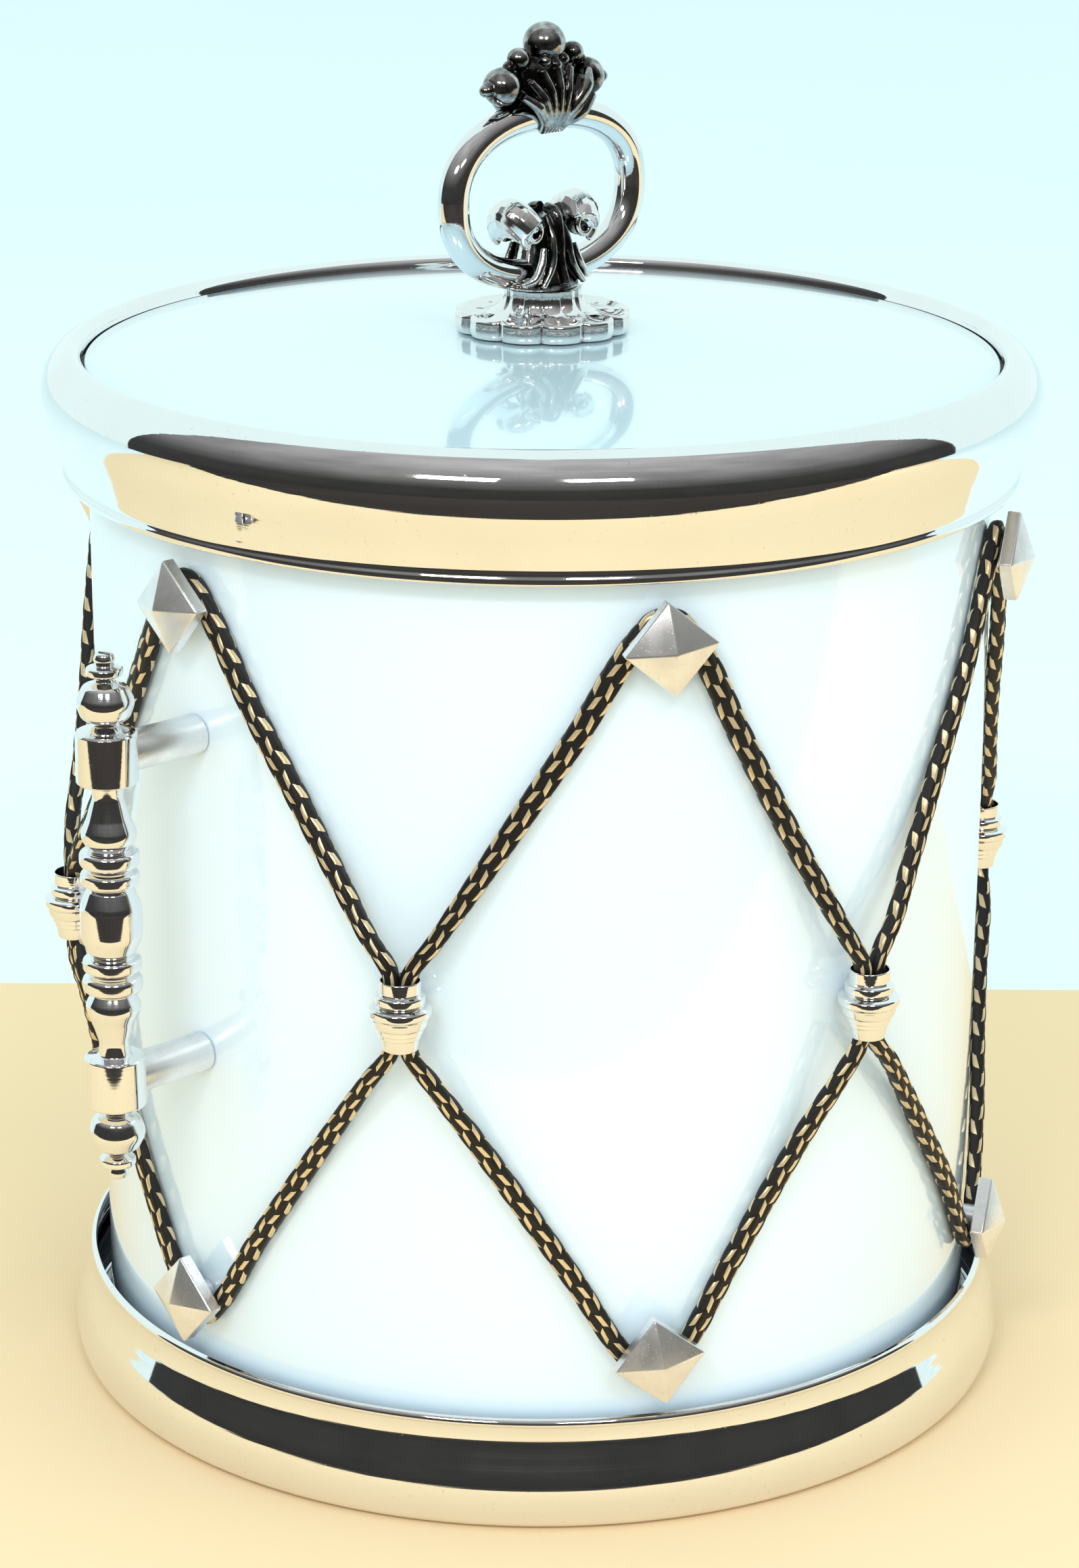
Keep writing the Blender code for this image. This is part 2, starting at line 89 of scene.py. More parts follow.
# Sizes of this script's own detail
MERGE_DISTANCE = 0.002 * MM  # points closer than this are one
SHEET_T = 0.9 * MM           # metal of the bands
SEAM_WIDTH = 0.5 * MM        # between the vinyl's two edges, at the back
ROUND_STEPS = 288            # steps round the drum
STUD_EDGE = 0.32 * MM        # width of the studs' bevelled edges
POST_SINK = 1 * MM           # how far a stud's post goes into its head
POST_STOP = 3.9 * MM         # how far short of the spindle's axis a handle's post stops
CORD_STEP = 0.5 * MM         # length of cord between its rings of points
CORD_WIDTH = 2.65 * MM       # half of the braid's width, which lies flat on the wall
CORD_SPREAD = 0.3 * MM       # how much flatter it lies at the top
CORD_FLATNESS = 0.6          # of its section, from 0 for round
CORD_SIDE_INSET = 0.05 * MM  # how far in the core lies, so that there is room for relief
CORD_FRONT_INSET = 0.12 * MM
BRAID_COLUMNS = 8            # columns of floats round the cord
BRAID_POINTS = 5             # points across a column
BRAID_REPEAT = 8.3 * MM      # one gold and one black float
BRAID_GOLD = 0.37            # gold's share of a repeat
BRAID_GOLD_WIDTH = 0.74      # gold's share of its column's width
BRAID_STAGGER = 0.44         # how far a column is ahead of the one beside it, in repeats
BRAID_LEAN = 0.16            # how far a float's ends lean, in repeats
BRAID_SLANT = 0.55           # how far a float drifts across its column in a repeat, in columns
BRAID_RELIEF = 0.3 * MM
# Degrees that each stud is turned on its post, from the left handle's column round the front
STUD_TWISTS = {"top": [-5, -6, 2, -3, 4, -2], "bottom": [-2, -8, 3, 5, -3, 2]}
CAST_VOXEL = 0.24 * MM       # grain of the finial and the collar
RECESS_RAYS = 14             # directions in which a point looks for metal beside it
RECESS_SPREAD = 0.85         # how far they lean from straight out, where 1 is level
FOOT_STEPS = 28              # steps round one lobe of the foot
FOOT_NECK_R = 9 * MM
FOOT_FLARE = 11 * MM         # from the neck out to the lobes' tips
FOOT_DISH_R = 16.5 * MM      # middle of the hollow behind the lobes
FOOT_DISH_WIDTH = 3 * MM
FOOT_DISH_RISE = 1.3 * MM
FOOT_TREAD_Z = 257 * MM      # the hollow is only above this

CAMERA_AZIMUTH = -44.2
CAMERA_AWAY = 0.9425
CAMERA_HEIGHT = 0.4494
CAMERA_PITCH = 18.09         # degrees down
CAMERA_ROLL = 0.38           # degrees
CAMERA_LENS = 135.75
CAMERA_SENSOR = 36
FLOOR_REACH = 6              # to either side, and towards the camera
FLOOR_FAR = 8
TABLE_BACK = 0.232           # the warm floor's far edge, behind the drum's middle
TABLE_FRONT = 0.36           # its near edge in reflections
ROOM_R = 2.6                 # the room's dim side, as reflections see it
ROOM_SPREAD = 102            # degrees to either side of the camera
ROOM_TOP = 88                # degrees up
LIGHT_AIM = (0, 0, 0.15)

# Materials


class Value:
    """A shader socket that takes part in sums."""

    def __init__(self, finish, socket):
        self.finish = finish
        self.socket = socket

    def math(self, operation, *others):
        inputs = {i: value for i, value in enumerate((self, *others))}
        return self.finish.node("ShaderNodeMath", {"operation": operation}, inputs)

    def __add__(self, other):
        return self.math("ADD", other)

    def __sub__(self, other):
        return self.math("SUBTRACT", other)

    def __mul__(self, other):
        return self.math("MULTIPLY", other)

    def __rsub__(self, other):
        return self.finish.node("ShaderNodeMath", {"operation": "SUBTRACT"}, {0: other, 1: self})

    def __mod__(self, other):
        return self.math("FLOORED_MODULO", other)

    def __lt__(self, other):
        return self.math("LESS_THAN", other)

    __radd__ = __add__
    __rmul__ = __mul__


class Finish:
    """One procedural material."""

    def __init__(self, name):
        self.made = bpy.data.materials.new(name)
        self.made.use_nodes = True
        self.tree = self.made.node_tree
        self.shader = self.tree.nodes["Principled BSDF"]

    def node(self, kind, settings, inputs, out=0):
        """A new node: its settings first, then its sockets' values or links."""
        made = self.tree.nodes.new(kind)
        for key, value in settings.items():
            if key == "stops":
                self.set_stops(made.color_ramp, value)
            else:
                setattr(made, key, value)
        for key, value in inputs.items():
            self.feed(made.inputs[key], value)
        return Value(self, made.outputs[out])

    def set_stops(self, ramp, stops):
        while len(ramp.elements) < len(stops):
            ramp.elements.new(0.5)
        for element, (place, shade) in zip(ramp.elements, stops):
            element.position = place
            element.color = (shade, shade, shade, 1)

    def feed(self, socket, value):
        if isinstance(value, Value):
            self.tree.links.new(value.socket, socket)
        elif isinstance(value, tuple) and len(value) == 3 and socket.type == "RGBA":
            socket.default_value = (*value, 1)
        else:
            socket.default_value = value

    def place(self, stretch=(1, 1, 1)):
        """Object coordinates, stretched along the axes."""
        coords = self.node("ShaderNodeTexCoord", {}, {}, "Object")
        return self.node("ShaderNodeMapping", {}, {"Vector": coords, "Scale": stretch})

    def noise(self, scale, detail=2.0, stretch=(1, 1, 1)):
        inputs = {"Vector": self.place(stretch), "Scale": scale, "Detail": detail}
        return self.node("ShaderNodeTexNoise", {}, inputs)

    def cells(self, scale):
        inputs = {"Vector": self.place(), "Scale": scale}
        return self.node("ShaderNodeTexVoronoi", {"feature": "F1"}, inputs, "Distance")

    def ramp(self, factor, *stops):
        return self.node("ShaderNodeValToRGB", {"stops": stops}, {"Fac": factor})

    def mix(self, factor, first, second):
        return self.node("ShaderNodeMix", {"data_type": "RGBA"}, {0: factor, 6: first, 7: second}, 2)

    def attribute(self, name):
        return self.node("ShaderNodeAttribute", {"attribute_name": name}, {}, "Fac")

    def bump(self, height, strength, distance):
        inputs = {"Height": height, "Strength": strength, "Distance": distance}
        return self.node("ShaderNodeBump", {}, inputs)

    def done(self, **sockets):
        """Feeds the shader: a socket's name is written with _ for a space."""
        for key, value in sockets.items():
            self.feed(self.shader.inputs[key.replace("_", " ")], value)
        return self.made


def patent_vinyl(name, tint_with_painted_light):
    """White coated cloth under a clear coat, whose given colour has the light's blue cast and dimming
    painted into the white.
    """
    finish = Finish(name)
    cloudy = finish.noise(9, 3)
    scuffs = finish.ramp(finish.noise(60, 6, (1, 1, 0.35)), (0.6, 0), (0.78, 1))
    peel = finish.noise(700, 2)
    sag = finish.noise(14, 1, (1, 1, 0.4))
    return finish.done(
        Base_Color=finish.mix(cloudy, tint_with_painted_light, tuple(part * 1.05 for part in tint_with_painted_light)),
        Roughness=0.14 + scuffs * 0.12, Coat_Weight=1.0, Coat_Roughness=0.03,
        Normal=finish.bump(peel * 0.2 + sag * 3.0, 0.25, 0.0002))


def polished_chrome(name, shade, polish):
    """Bright plate over turned or spun metal, with faint lines round it and hazy patches."""
    finish = Finish(name)
    haze = finish.ramp(finish.noise(45, 5), (0.45, 0), (0.75, 1))
    turning = finish.noise(2.2, 3, (1, 1, 700))
    specks = finish.ramp(finish.noise(900, 2), (0.68, 0), (0.76, 1))
    clean = (shade, shade, shade * 1.01)
    warmer = (shade * 0.93, shade * 0.9, shade * 0.86)
    colour = finish.mix(haze * 0.35, clean, warmer)
    return finish.done(
        Base_Color=finish.mix(specks * 0.25, colour, (0.35, 0.33, 0.3)),
        Metallic=1.0, Roughness=polish + haze * 0.05 + specks * 0.12,
        Normal=finish.bump(turning, 0.05, 0.00015))


def satin_casting():
    """Plated casting of the studs: finely pitted and a little worn."""
    finish = Finish("satin_casting")
    holes = finish.ramp(finish.cells(1500.0), (0.08, 1), (0.22, 0))
    cloudy = finish.noise(120, 5)
    worn = finish.ramp(cloudy, (0.4, 0), (0.7, 1))
    return finish.done(
        Base_Color=finish.mix(holes * 0.5 + worn * 0.2, (0.9, 0.89, 0.9), (0.55, 0.53, 0.51)),
        Metallic=0.9, Roughness=0.27 + worn * 0.14 + holes * 0.15,
        Normal=finish.bump(cloudy * 0.6 - holes * 0.5, 0.35, 0.0001))


def antiqued_casting(name, darkness):
    """Bright plate with black left in its recesses, where the attribute recess is high."""
    finish = Finish(name)
    patchy = finish.noise(420, 4)
    deep = finish.attribute("recess") + (patchy - 0.5) * 0.45 + darkness
    dark = finish.ramp(deep, (0.3, 0), (0.62, 1))
    grain = finish.noise(1400, 3)
    return finish.done(
        Base_Color=finish.mix(dark, (0.84, 0.83, 0.82), (0.05, 0.047, 0.045)),
        Metallic=1.0, Roughness=0.06 + dark * 0.06 + patchy * 0.06,
        Normal=finish.bump(grain + patchy * 2.0, 0.3, 0.00008))


def braided_cord():
    """Black yarn and flat gold yarn, laid by the same rule as the floats' relief."""
    finish = Finish("braided_cord")
    parts = finish.node("ShaderNodeUVMap", {"uv_map": "braid"}, {})
    columns = finish.node("ShaderNodeSeparateXYZ", {}, {0: parts}, 0)
    along = finish.node("ShaderNodeSeparateXYZ", {}, {0: parts}, 1)
    across = columns % 1.0 - 0.5
    odd = columns.math("FLOOR") % 2.0
    sign = 1.0 - odd * 2.0
    phase = (along + odd * BRAID_STAGGER + sign * across * BRAID_LEAN) % 1.0 - BRAID_GOLD / 2
    rim = (across + sign * phase * BRAID_SLANT).math("ABSOLUTE") * (2 / BRAID_GOLD_WIDTH)
    ends = phase.math("ABSOLUTE") * (2 / BRAID_GOLD)
    gold = (ends < 1.0) * (rim < 1.0)
    hatch = (along * 24.0 + across * 4.0) % 1.0
    strands = (along * 3.0 + across * 9.0) % 1.0
    fibres = finish.noise(2600, 3)
    yarn = finish.mix(fibres, (0.001, 0.001, 0.001), (0.012, 0.01, 0.01))
    lame = finish.mix(hatch * 0.8 + fibres * 0.3, (1.0, 0.86, 0.58), (0.62, 0.42, 0.22))
    return finish.done(
        Base_Color=finish.mix(gold, yarn, lame), Metallic=gold * 0.6,
        Roughness=0.55 - gold * 0.22,
        Normal=finish.bump(gold * hatch + (1.0 - gold) * (strands * 0.8 + fibres), 0.5, 0.0001))


def moulded_plastic():
    finish = Finish("moulded_plastic")
    cloudy = finish.noise(20, 3)
    grain = finish.noise(1200, 2)
    return finish.done(
        Base_Color=finish.mix(cloudy, (0.8, 0.8, 0.77), (0.86, 0.86, 0.84)),
        Roughness=0.28 + cloudy * 0.12, Normal=finish.bump(grain, 0.12, 0.0001))


def pressed_board():
    finish = Finish("pressed_board")
    chips = finish.noise(500, 5, (1, 1, 3))
    return finish.done(
        Base_Color=finish.mix(chips, (0.24, 0.15, 0.09), (0.48, 0.34, 0.22)),
        Roughness=0.75 + chips * 0.2, Normal=finish.bump(chips, 0.5, 0.0003))


def insulating_foam():
    finish = Finish("insulating_foam")
    cells = finish.cells(700.0)
    return finish.done(
        Base_Color=finish.mix(cells, (0.86, 0.82, 0.68), (0.7, 0.64, 0.48)),
        Roughness=0.85 + cells * 0.1, Normal=finish.bump(cells, 0.6, 0.0004))


def pressed_felt():
    finish = Finish("pressed_felt")
    hairs = finish.noise(1800, 6)
    return finish.done(
        Base_Color=finish.mix(hairs, (0.012, 0.014, 0.013), (0.06, 0.065, 0.06)),
        Roughness=0.9 + hairs * 0.1, Normal=finish.bump(hairs, 0.8, 0.0003))


def zinc_steel():
    finish = Finish("zinc_steel")
    spangle = finish.noise(600, 4)
    return finish.done(
        Base_Color=finish.mix(spangle, (0.5, 0.51, 0.52), (0.68, 0.67, 0.62)),
        Metallic=1.0, Roughness=0.28 + spangle * 0.25, Normal=finish.bump(spangle, 0.2, 0.0001))


def plain_floor(name, first, second, rough):
    finish = Finish(name)
    cloudy = finish.noise(2.5, 2)
    return finish.done(
        Base_Color=finish.mix(cloudy, first, second),
        Roughness=rough + cloudy * 0.05, Specular_IOR_Level=0.0)


# Mesh helpers


def polar(radius, azimuth, z):
    angle = math.radians(azimuth)
    return Vector((radius * math.sin(angle), -radius * math.cos(angle), z))


def mm(points):
    return [tuple(part * MM for part in point) for point in points]


def between(points, slopes, i, length, t):
    """A point at a share t of the smooth curve from points[i] to the next."""
    a, b = 2 * t ** 3 - 3 * t ** 2 + 1, t ** 3 - 2 * t ** 2 + t
    c, d = 3 * t ** 2 - 2 * t ** 3, t ** 3 - t ** 2
    return a * points[i] + b * length * slopes[i] + c * points[i + 1] + d * length * slopes[i + 1]


def through(points, per=5):
    """A smooth curve through an outline's points, with some bits between each two."""
    pts = np.array(points, float)
    step = np.linalg.norm(np.diff(pts, axis=0), axis=1)
    place = np.concatenate([[0], np.cumsum(step)])
    slope = np.gradient(pts, place, axis=0)
    smooth = []
    for i, length in enumerate(step):
        for t in np.arange(per) / per:
            smooth.append(between(pts, slope, i, length, t))
    smooth.append(pts[-1])
    return [tuple(p) for p in smooth]


def rounded(corners, bits=4, closed=False):
    """An outline from (across, up, corner radius), with an arc at each corner that has a radius."""
    count = len(corners)
    made = []
    for i, (x, y, radius) in enumerate(corners):
        here = Vector((x, y))
        if radius == 0 or (not closed and i in (0, count - 1)):
            made.append((x, y))
            continue
        before = Vector(corners[i - 1][:2]) - here
        after = Vector(corners[(i + 1) % count][:2]) - here
        half = before.angle(after) / 2
        reach = min(radius / math.tan(half), 0.49 * before.length, 0.49 * after.length)
        start = here + before.normalized() * reach
        end = here + after.normalized() * reach
        middle = here + (before.normalized() + after.normalized()).normalized() * reach / math.cos(half)
        swing = reach * math.tan(half)
        for bit in range(bits + 1):
            line = start.lerp(end, bit / bits) - middle
            made.append(tuple(middle + line.normalized() * swing))
    return made


def sheet_outline(face, thickness):
    """Outline of a bent sheet whose outer face is given, going down its outside."""
    pts = np.array(face, float)
    run = np.gradient(pts, axis=0)
    run /= np.linalg.norm(run, axis=1)[:, None]
    inner = np.stack([pts[:, 0] + run[:, 1] * thickness, pts[:, 1] - run[:, 0] * thickness], axis=1)
    return [tuple(p) for p in pts] + [tuple(p) for p in inner[::-1]]


def put_in_scene(name, data):
    obj = bpy.data.objects.new(name, data)
    bpy.context.scene.collection.objects.link(obj)
    return obj


def dress(mesh, look, smooth=True):
    mesh.materials.clear()
    mesh.materials.append(look)
    mesh.polygons.foreach_set("use_smooth", [smooth] * len(mesh.polygons))


def add_object(name, mesh, look, smooth=True):
    obj = put_in_scene(name, mesh)
    dress(mesh, look, smooth)
    return obj


def mesh_from(work, name):
    mesh = bpy.data.meshes.new(name)
    work.to_mesh(mesh)
    work.free()
    return mesh


def plain_mesh(name, verts, faces=()):
    mesh = bpy.data.meshes.new(name)
    mesh.from_pydata([tuple(v) for v in verts], [], faces)
    return mesh


def build_mesh(name, verts, faces):
    """A mesh with doubles merged and its normals facing out."""
    mesh = plain_mesh(name, verts, faces)
    work = bmesh.new()
    work.from_mesh(mesh)
    bmesh.ops.remove_doubles(work, verts=work.verts, dist=MERGE_DISTANCE)
    bmesh.ops.recalc_face_normals(work, faces=work.faces)
    work.to_mesh(mesh)
    work.free()
    return mesh


def sharpen(obj, degrees=40):
    """Keeps edges crisp where faces meet at more than an angle."""
    work = bmesh.new()
    work.from_mesh(obj.data)
    for edge in work.edges:
        edge.smooth = len(edge.link_faces) == 2 and edge.calc_face_angle() < math.radians(degrees)
    work.to_mesh(obj.data)
    work.free()
    return obj


def ring_faces(outline, steps, rings):
    """Faces between neighbouring copies of an outline, leaving out those that lie on the axis."""
    count = len(outline)
    faces = []
    for i in range(steps):
        j = (i + 1) % rings
        for k in range(count):
            n = (k + 1) % count
            if outline[k][0] or outline[n][0]:
                faces.append((i * count + k, j * count + k, j * count + n, i * count + n))
    return faces


def revolve(name, outline, look, steps=ROUND_STEPS, slot_width=0.0):
    """Turns a closed (radius, height) outline about Z. A slot leaves the ring open at the back."""
    count = len(outline)
    open_angle = slot_width / BODY_R
    turns = steps + 1 if slot_width else steps
    angles = [math.pi / 2 + open_angle / 2 + (math.tau - open_angle) * i / steps for i in range(turns)]
    verts = [(r * math.cos(a), r * math.sin(a), z) for a in angles for r, z in outline]
    faces = ring_faces(outline, steps, turns)
    if slot_width:
        faces += [tuple(range(count)), tuple(steps * count + k for k in range(count))]
    return sharpen(add_object(name, build_mesh(name, verts, faces), look))


def oval(sides, flat=0.0):
    """Points round a unit circle, or round a flatter shape whose front and back have even steps."""
    turn = np.arange(sides) * math.tau / sides
    even = 1 - 2 * np.abs(turn / math.pi - 1)
    across = (1 - flat) * np.cos(turn) - flat * even
    power = 2 + flat * 0.6
    return across, np.sign(np.sin(turn)) * (1 - np.clip(np.abs(across), 0, 1) ** power) ** (1 / power)


def sweep(points, outward, across, out, section, closed=False, relief=None):
    """Rings of points round a path: verts and faces of a tube of the given unit section.

    outward gives the direction of the section's second radius, one for each point of the path.
    """
    sides = len(section[0])
    pts = np.array([tuple(p) for p in points])
    count = len(pts)
    if closed:
        run = np.roll(pts, -1, axis=0) - np.roll(pts, 1, axis=0)
    else:
        run = np.gradient(pts, axis=0)
    run /= np.linalg.norm(run, axis=1)[:, None]
    up = np.broadcast_to(np.array(outward, float), pts.shape)
    up = up - run * np.sum(up * run, axis=1)[:, None]
    up /= np.linalg.norm(up, axis=1)[:, None]
    side = np.cross(up, run)
    wide = np.broadcast_to(across, count)[:, None]
    deep = np.broadcast_to(out, count)[:, None]
    lift = 0 if relief is None else relief
    a = (wide + lift) * section[0]
    b = (deep + lift) * section[1]
    verts = pts[:, None] + a[:, :, None] * side[:, None] + b[:, :, None] * up[:, None]
    faces = []
    for i in range(count if closed else count - 1):
        j = (i + 1) % count
        for k in range(sides):
            n = (k + 1) % sides
            faces.append((i * sides + k, i * sides + n, j * sides + n, j * sides + k))
    if not closed:
        faces += [tuple(range(sides))[::-1], tuple((count - 1) * sides + k for k in range(sides))]
    return verts.reshape(-1, 3), faces


def bake(obj):
    """Turns an object with modifiers into a plain mesh object at the origin."""
    bpy.context.view_layer.update()
    depsgraph = bpy.context.evaluated_depsgraph_get()
    mesh = bpy.data.meshes.new_from_object(obj.evaluated_get(depsgraph))
    mesh.transform(obj.matrix_world)
    name = obj.name
    bpy.data.objects.remove(obj, do_unlink=True)
    return put_in_scene(name, mesh)


def join(name, pieces):
    """One object from several that carry the same material."""
    work = bmesh.new()
    for piece in pieces:
        work.from_mesh(piece.data)
    mesh = mesh_from(work, name)
    look = pieces[0].data.materials[0]
    for piece in pieces:
        bpy.data.objects.remove(piece, do_unlink=True)
    mesh.materials.append(look)
    return put_in_scene(name, mesh)


# Copies of a piece at its places round the drum


def copies_tree():
    """Geometry nodes that set a piece on every point, turned by the point's turn and twist."""
    tree = bpy.data.node_groups.new("pieces_round_the_drum", "GeometryNodeTree")
    for name, kind in (("Places", "NodeSocketGeometry"), ("Piece", "NodeSocketObject"),
                       ("Finish", "NodeSocketMaterial")):
        tree.interface.new_socket(name, in_out="INPUT", socket_type=kind)
    tree.interface.new_socket("Pieces", in_out="OUTPUT", socket_type="NodeSocketGeometry")

    def add(kind, **settings):
        made = tree.nodes.new(kind)
        for key, value in settings.items():
            setattr(made, key, value)
        return made

    given, result = add("NodeGroupInput"), add("NodeGroupOutput")
    piece = add("GeometryNodeObjectInfo", transform_space="ORIGINAL")
    turn = add("GeometryNodeInputNamedAttribute", data_type="FLOAT")
    twist = add("GeometryNodeInputNamedAttribute", data_type="FLOAT")
    turn.inputs["Name"].default_value = "turn"
    twist.inputs["Name"].default_value = "twist"
    angles = add("ShaderNodeCombineXYZ")
    euler = add("FunctionNodeEulerToRotation")
    on_points = add("GeometryNodeInstanceOnPoints")
    realize, finish = add("GeometryNodeRealizeInstances"), add("GeometryNodeSetMaterial")
    for start, out, end, into in (
            (given, "Places", on_points, "Points"),
            (given, "Piece", piece, "Object"),
            (piece, "Geometry", on_points, "Instance"),
            (twist, "Attribute", angles, "Y"),
            (turn, "Attribute", angles, "Z"),
            (angles, 0, euler, 0),
            (euler, 0, on_points, "Rotation"),
            (on_points, 0, realize, 0),
            (realize, 0, finish, 0),
            (given, "Finish", finish, "Material"),
            (finish, 0, result, 0)):
        tree.links.new(start.outputs[out], end.inputs[into])
    return tree


COPIES = copies_tree()
FACE_OUT = Matrix.Rotation(math.radians(90), 4, "X")   # what points up then points along -Y


def copies(name, piece, places, look):
    """The piece, made at the origin with its outward side along -Y, at each (place, azimuth, twist)."""
    mesh = plain_mesh(name, [place for place, _, _ in places])
    for key, column in (("turn", 1), ("twist", 2)):
        layer = mesh.attributes.new(key, "FLOAT", "POINT")
        layer.data.foreach_set("value", [math.radians(place[column]) for place in places])
    holder = put_in_scene(name, mesh)
    nodes = holder.modifiers.new("Copies", "NODES")
    nodes.node_group = COPIES
    given = {"Piece": piece, "Finish": look}
    for item in COPIES.interface.items_tree:
        if item.in_out == "INPUT" and item.name in given:
            nodes[item.identifier] = given[item.name]
    made = bake(holder)
    bpy.data.objects.remove(piece, do_unlink=True)
    return made


def ride(piece, body, slot, *nodes):
    """Puts a finished piece under its body's empty and hides the imported nodes that it stands for.
    slot is not used.
    """
    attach(piece, body)
    if nodes:
        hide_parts(*nodes)
    return piece


# Body


def stud_sites():
    return [-90 + STUD_STEP * i for i in range(SITES)]


def sleeve_sites():
    pairs = zip(stud_sites(), SLEEVE_PLACES)
    return [(azimuth + STUD_STEP / 2 + shift, z) for azimuth, (shift, z) in pairs]


def make_wall(looks):
    inside = BODY_R - VINYL_T
    outline = rounded([
        (BODY_R, WALL_TOP, 0.4 * MM), (BODY_R, WALL_BOTTOM, 0.4 * MM),
        (inside, WALL_BOTTOM, 0.3 * MM), (inside, WALL_TOP, 0.3 * MM)], closed=True)
    wall = revolve("vinyl_cover", outline, looks["vinyl"], slot_width=SEAM_WIDTH)
    ride(wall, "body", "vinyl", "vinyl_wrap")


def make_liner(looks):
    outline = rounded(mm([
        (0, 18.8, 0), (84, 18.8, 4), (90.5, 236.3, 1.2), (108.3, 236.3, 0.7), (108.3, 230, 0.4),
        (107.3, 230, 0.4), (107.3, 234.3, 0.3), (92.3, 234.3, 0.5), (87, 20, 3), (85, 17, 2),
        (0, 17, 0)]), bits=6)
    ride(revolve("inner_liner", outline, looks["plastic"]), "body", "plastic", "liner")


def make_base_band(looks):
    face = through(mm([
        (110.6, 26.3), (111.5, 25.9), (111.9, 25), (111.5, 24.2), (111.4, 23.4), (111.7, 20.6),
        (113.2, 16.6), (114.9, 12.4), (115.7, 9), (115.9, 6.5), (115.6, 3.8), (114.8, 1.6),
        (113.2, 0.4), (112.3, 0.15), (108.8, 0.15), (107.4, 0.6), (106.4, 1.6), (98, 1.6)]))
    band = revolve("base_hoop", sheet_outline(face, SHEET_T), looks["chrome"])
    ride(band, "body", "chrome", "base_band")


def make_studs(looks):
    half_diagonal = STUD_SIDE / math.sqrt(2)
    outline = [(0, STUD_BACK), (half_diagonal, STUD_BACK), (half_diagonal, STUD_FRONT), (0, STUD_APEX)]
    head = revolve("stud_head", outline, looks["satin"], steps=4)
    edges = head.modifiers.new("Edges", "BEVEL")
    edges.width = STUD_EDGE
    edges.segments = 3
    edges.limit_method = "ANGLE"
    head = bake(head)
    sunk = STUD_BACK + POST_SINK
    shank = rounded([(0, sunk, 0), (STUD_POST_R, sunk, 0), (STUD_POST_R, GAP, 0.2 * MM), (0, GAP, 0)])
    post = revolve("stud_post", shank, looks["satin"], steps=32)
    stud = join("stud", [head, post])
    stud.data.transform(FACE_OUT)
    places, nodes = [], []
    for level, z in (("top", STUD_TOP_Z), ("bottom", STUD_BOTTOM_Z)):
        for i, azimuth in enumerate(stud_sites()):
            places.append((polar(BODY_R, azimuth, z), azimuth, STUD_TWISTS[level][i]))
            nodes.append(f"stud_{level}_{i + 1}")
    ride(copies("pyramid_studs", stud, places, looks["satin"]), "body", "cast", *nodes)


def make_sleeves(looks):
    skin = rounded(mm([
        (4.3, 8.15, 0.2), (4.75, 8.15, 0.25), (4.6, 5.4, 0.3), (4.9, 5.0, 0.1), (5.6, 4.6, 0.6),
        (5.6, 3.0, 0.6), (5.15, 2.45, 0.2), (6.1, 2.2, 0.3), (7.0, 1.7, 0.7), (7.0, 0.2, 0.7),
        (6.3, -0.5, 0.3), (6.3, -0.9, 0.2), (5.9, -2.6, 1), (5.2, -2.9, 0.15), (5.2, -4.0, 0.25),
        (4.7, -4.2, 0.1), (4.7, -5.1, 0.2), (4.35, -5.3, 0.1), (4.2, -6.6, 0.6), (3.9, -8.15, 0.3),
        (3.5, -8.15, 0.2), (4.3, -5.5, 0.5)]), bits=5, closed=True)
    sleeve = revolve("sleeve", skin, looks["chrome"], steps=72)
    places = [(polar(SLEEVE_AXIS_R, azimuth, z), azimuth, 0) for azimuth, z in sleeve_sites()]
    nodes = [f"cord_sleeve_{i + 1}" for i in range(SITES)]
    ride(copies("turned_sleeves", sleeve, places, looks["chrome"]), "body", "chrome", *nodes)


# Cords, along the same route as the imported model's


def leave_angle(centre_z, side, target):
    """Angle on a post at which the straight leg to or from the target touches the cord's turn."""
    across, up = target[0], target[1] - centre_z
    return math.atan2(up, across) + side * math.acos(CORD_TURN_R / math.hypot(across, up))


def turn_round(centre_z, start, end):
    """Clockwise turn round the post at a height, between the legs from start and to end."""
    first = leave_angle(centre_z, -1, start)
    sweep_angle = (first - leave_angle(centre_z, 1, end)) % math.tau
    angles = [first - sweep_angle * i / TURN_STEPS for i in range(TURN_STEPS + 1)]
    return [(CORD_TURN_R * math.cos(a), centre_z + CORD_TURN_R * math.sin(a), CORD_WALL_R)
            for a in angles]


def leg(start, end, lifts):
    """Points of a straight leg, with how far each is lifted from the wall to the sleeve's axis."""
    rise = SLEEVE_AXIS_R - CORD_WALL_R
    return [(start[0] + (end[0] - start[0]) * t, start[1] + (end[1] - start[1]) * t,
             CORD_WALL_R + rise * lift) for t, lift in lifts]


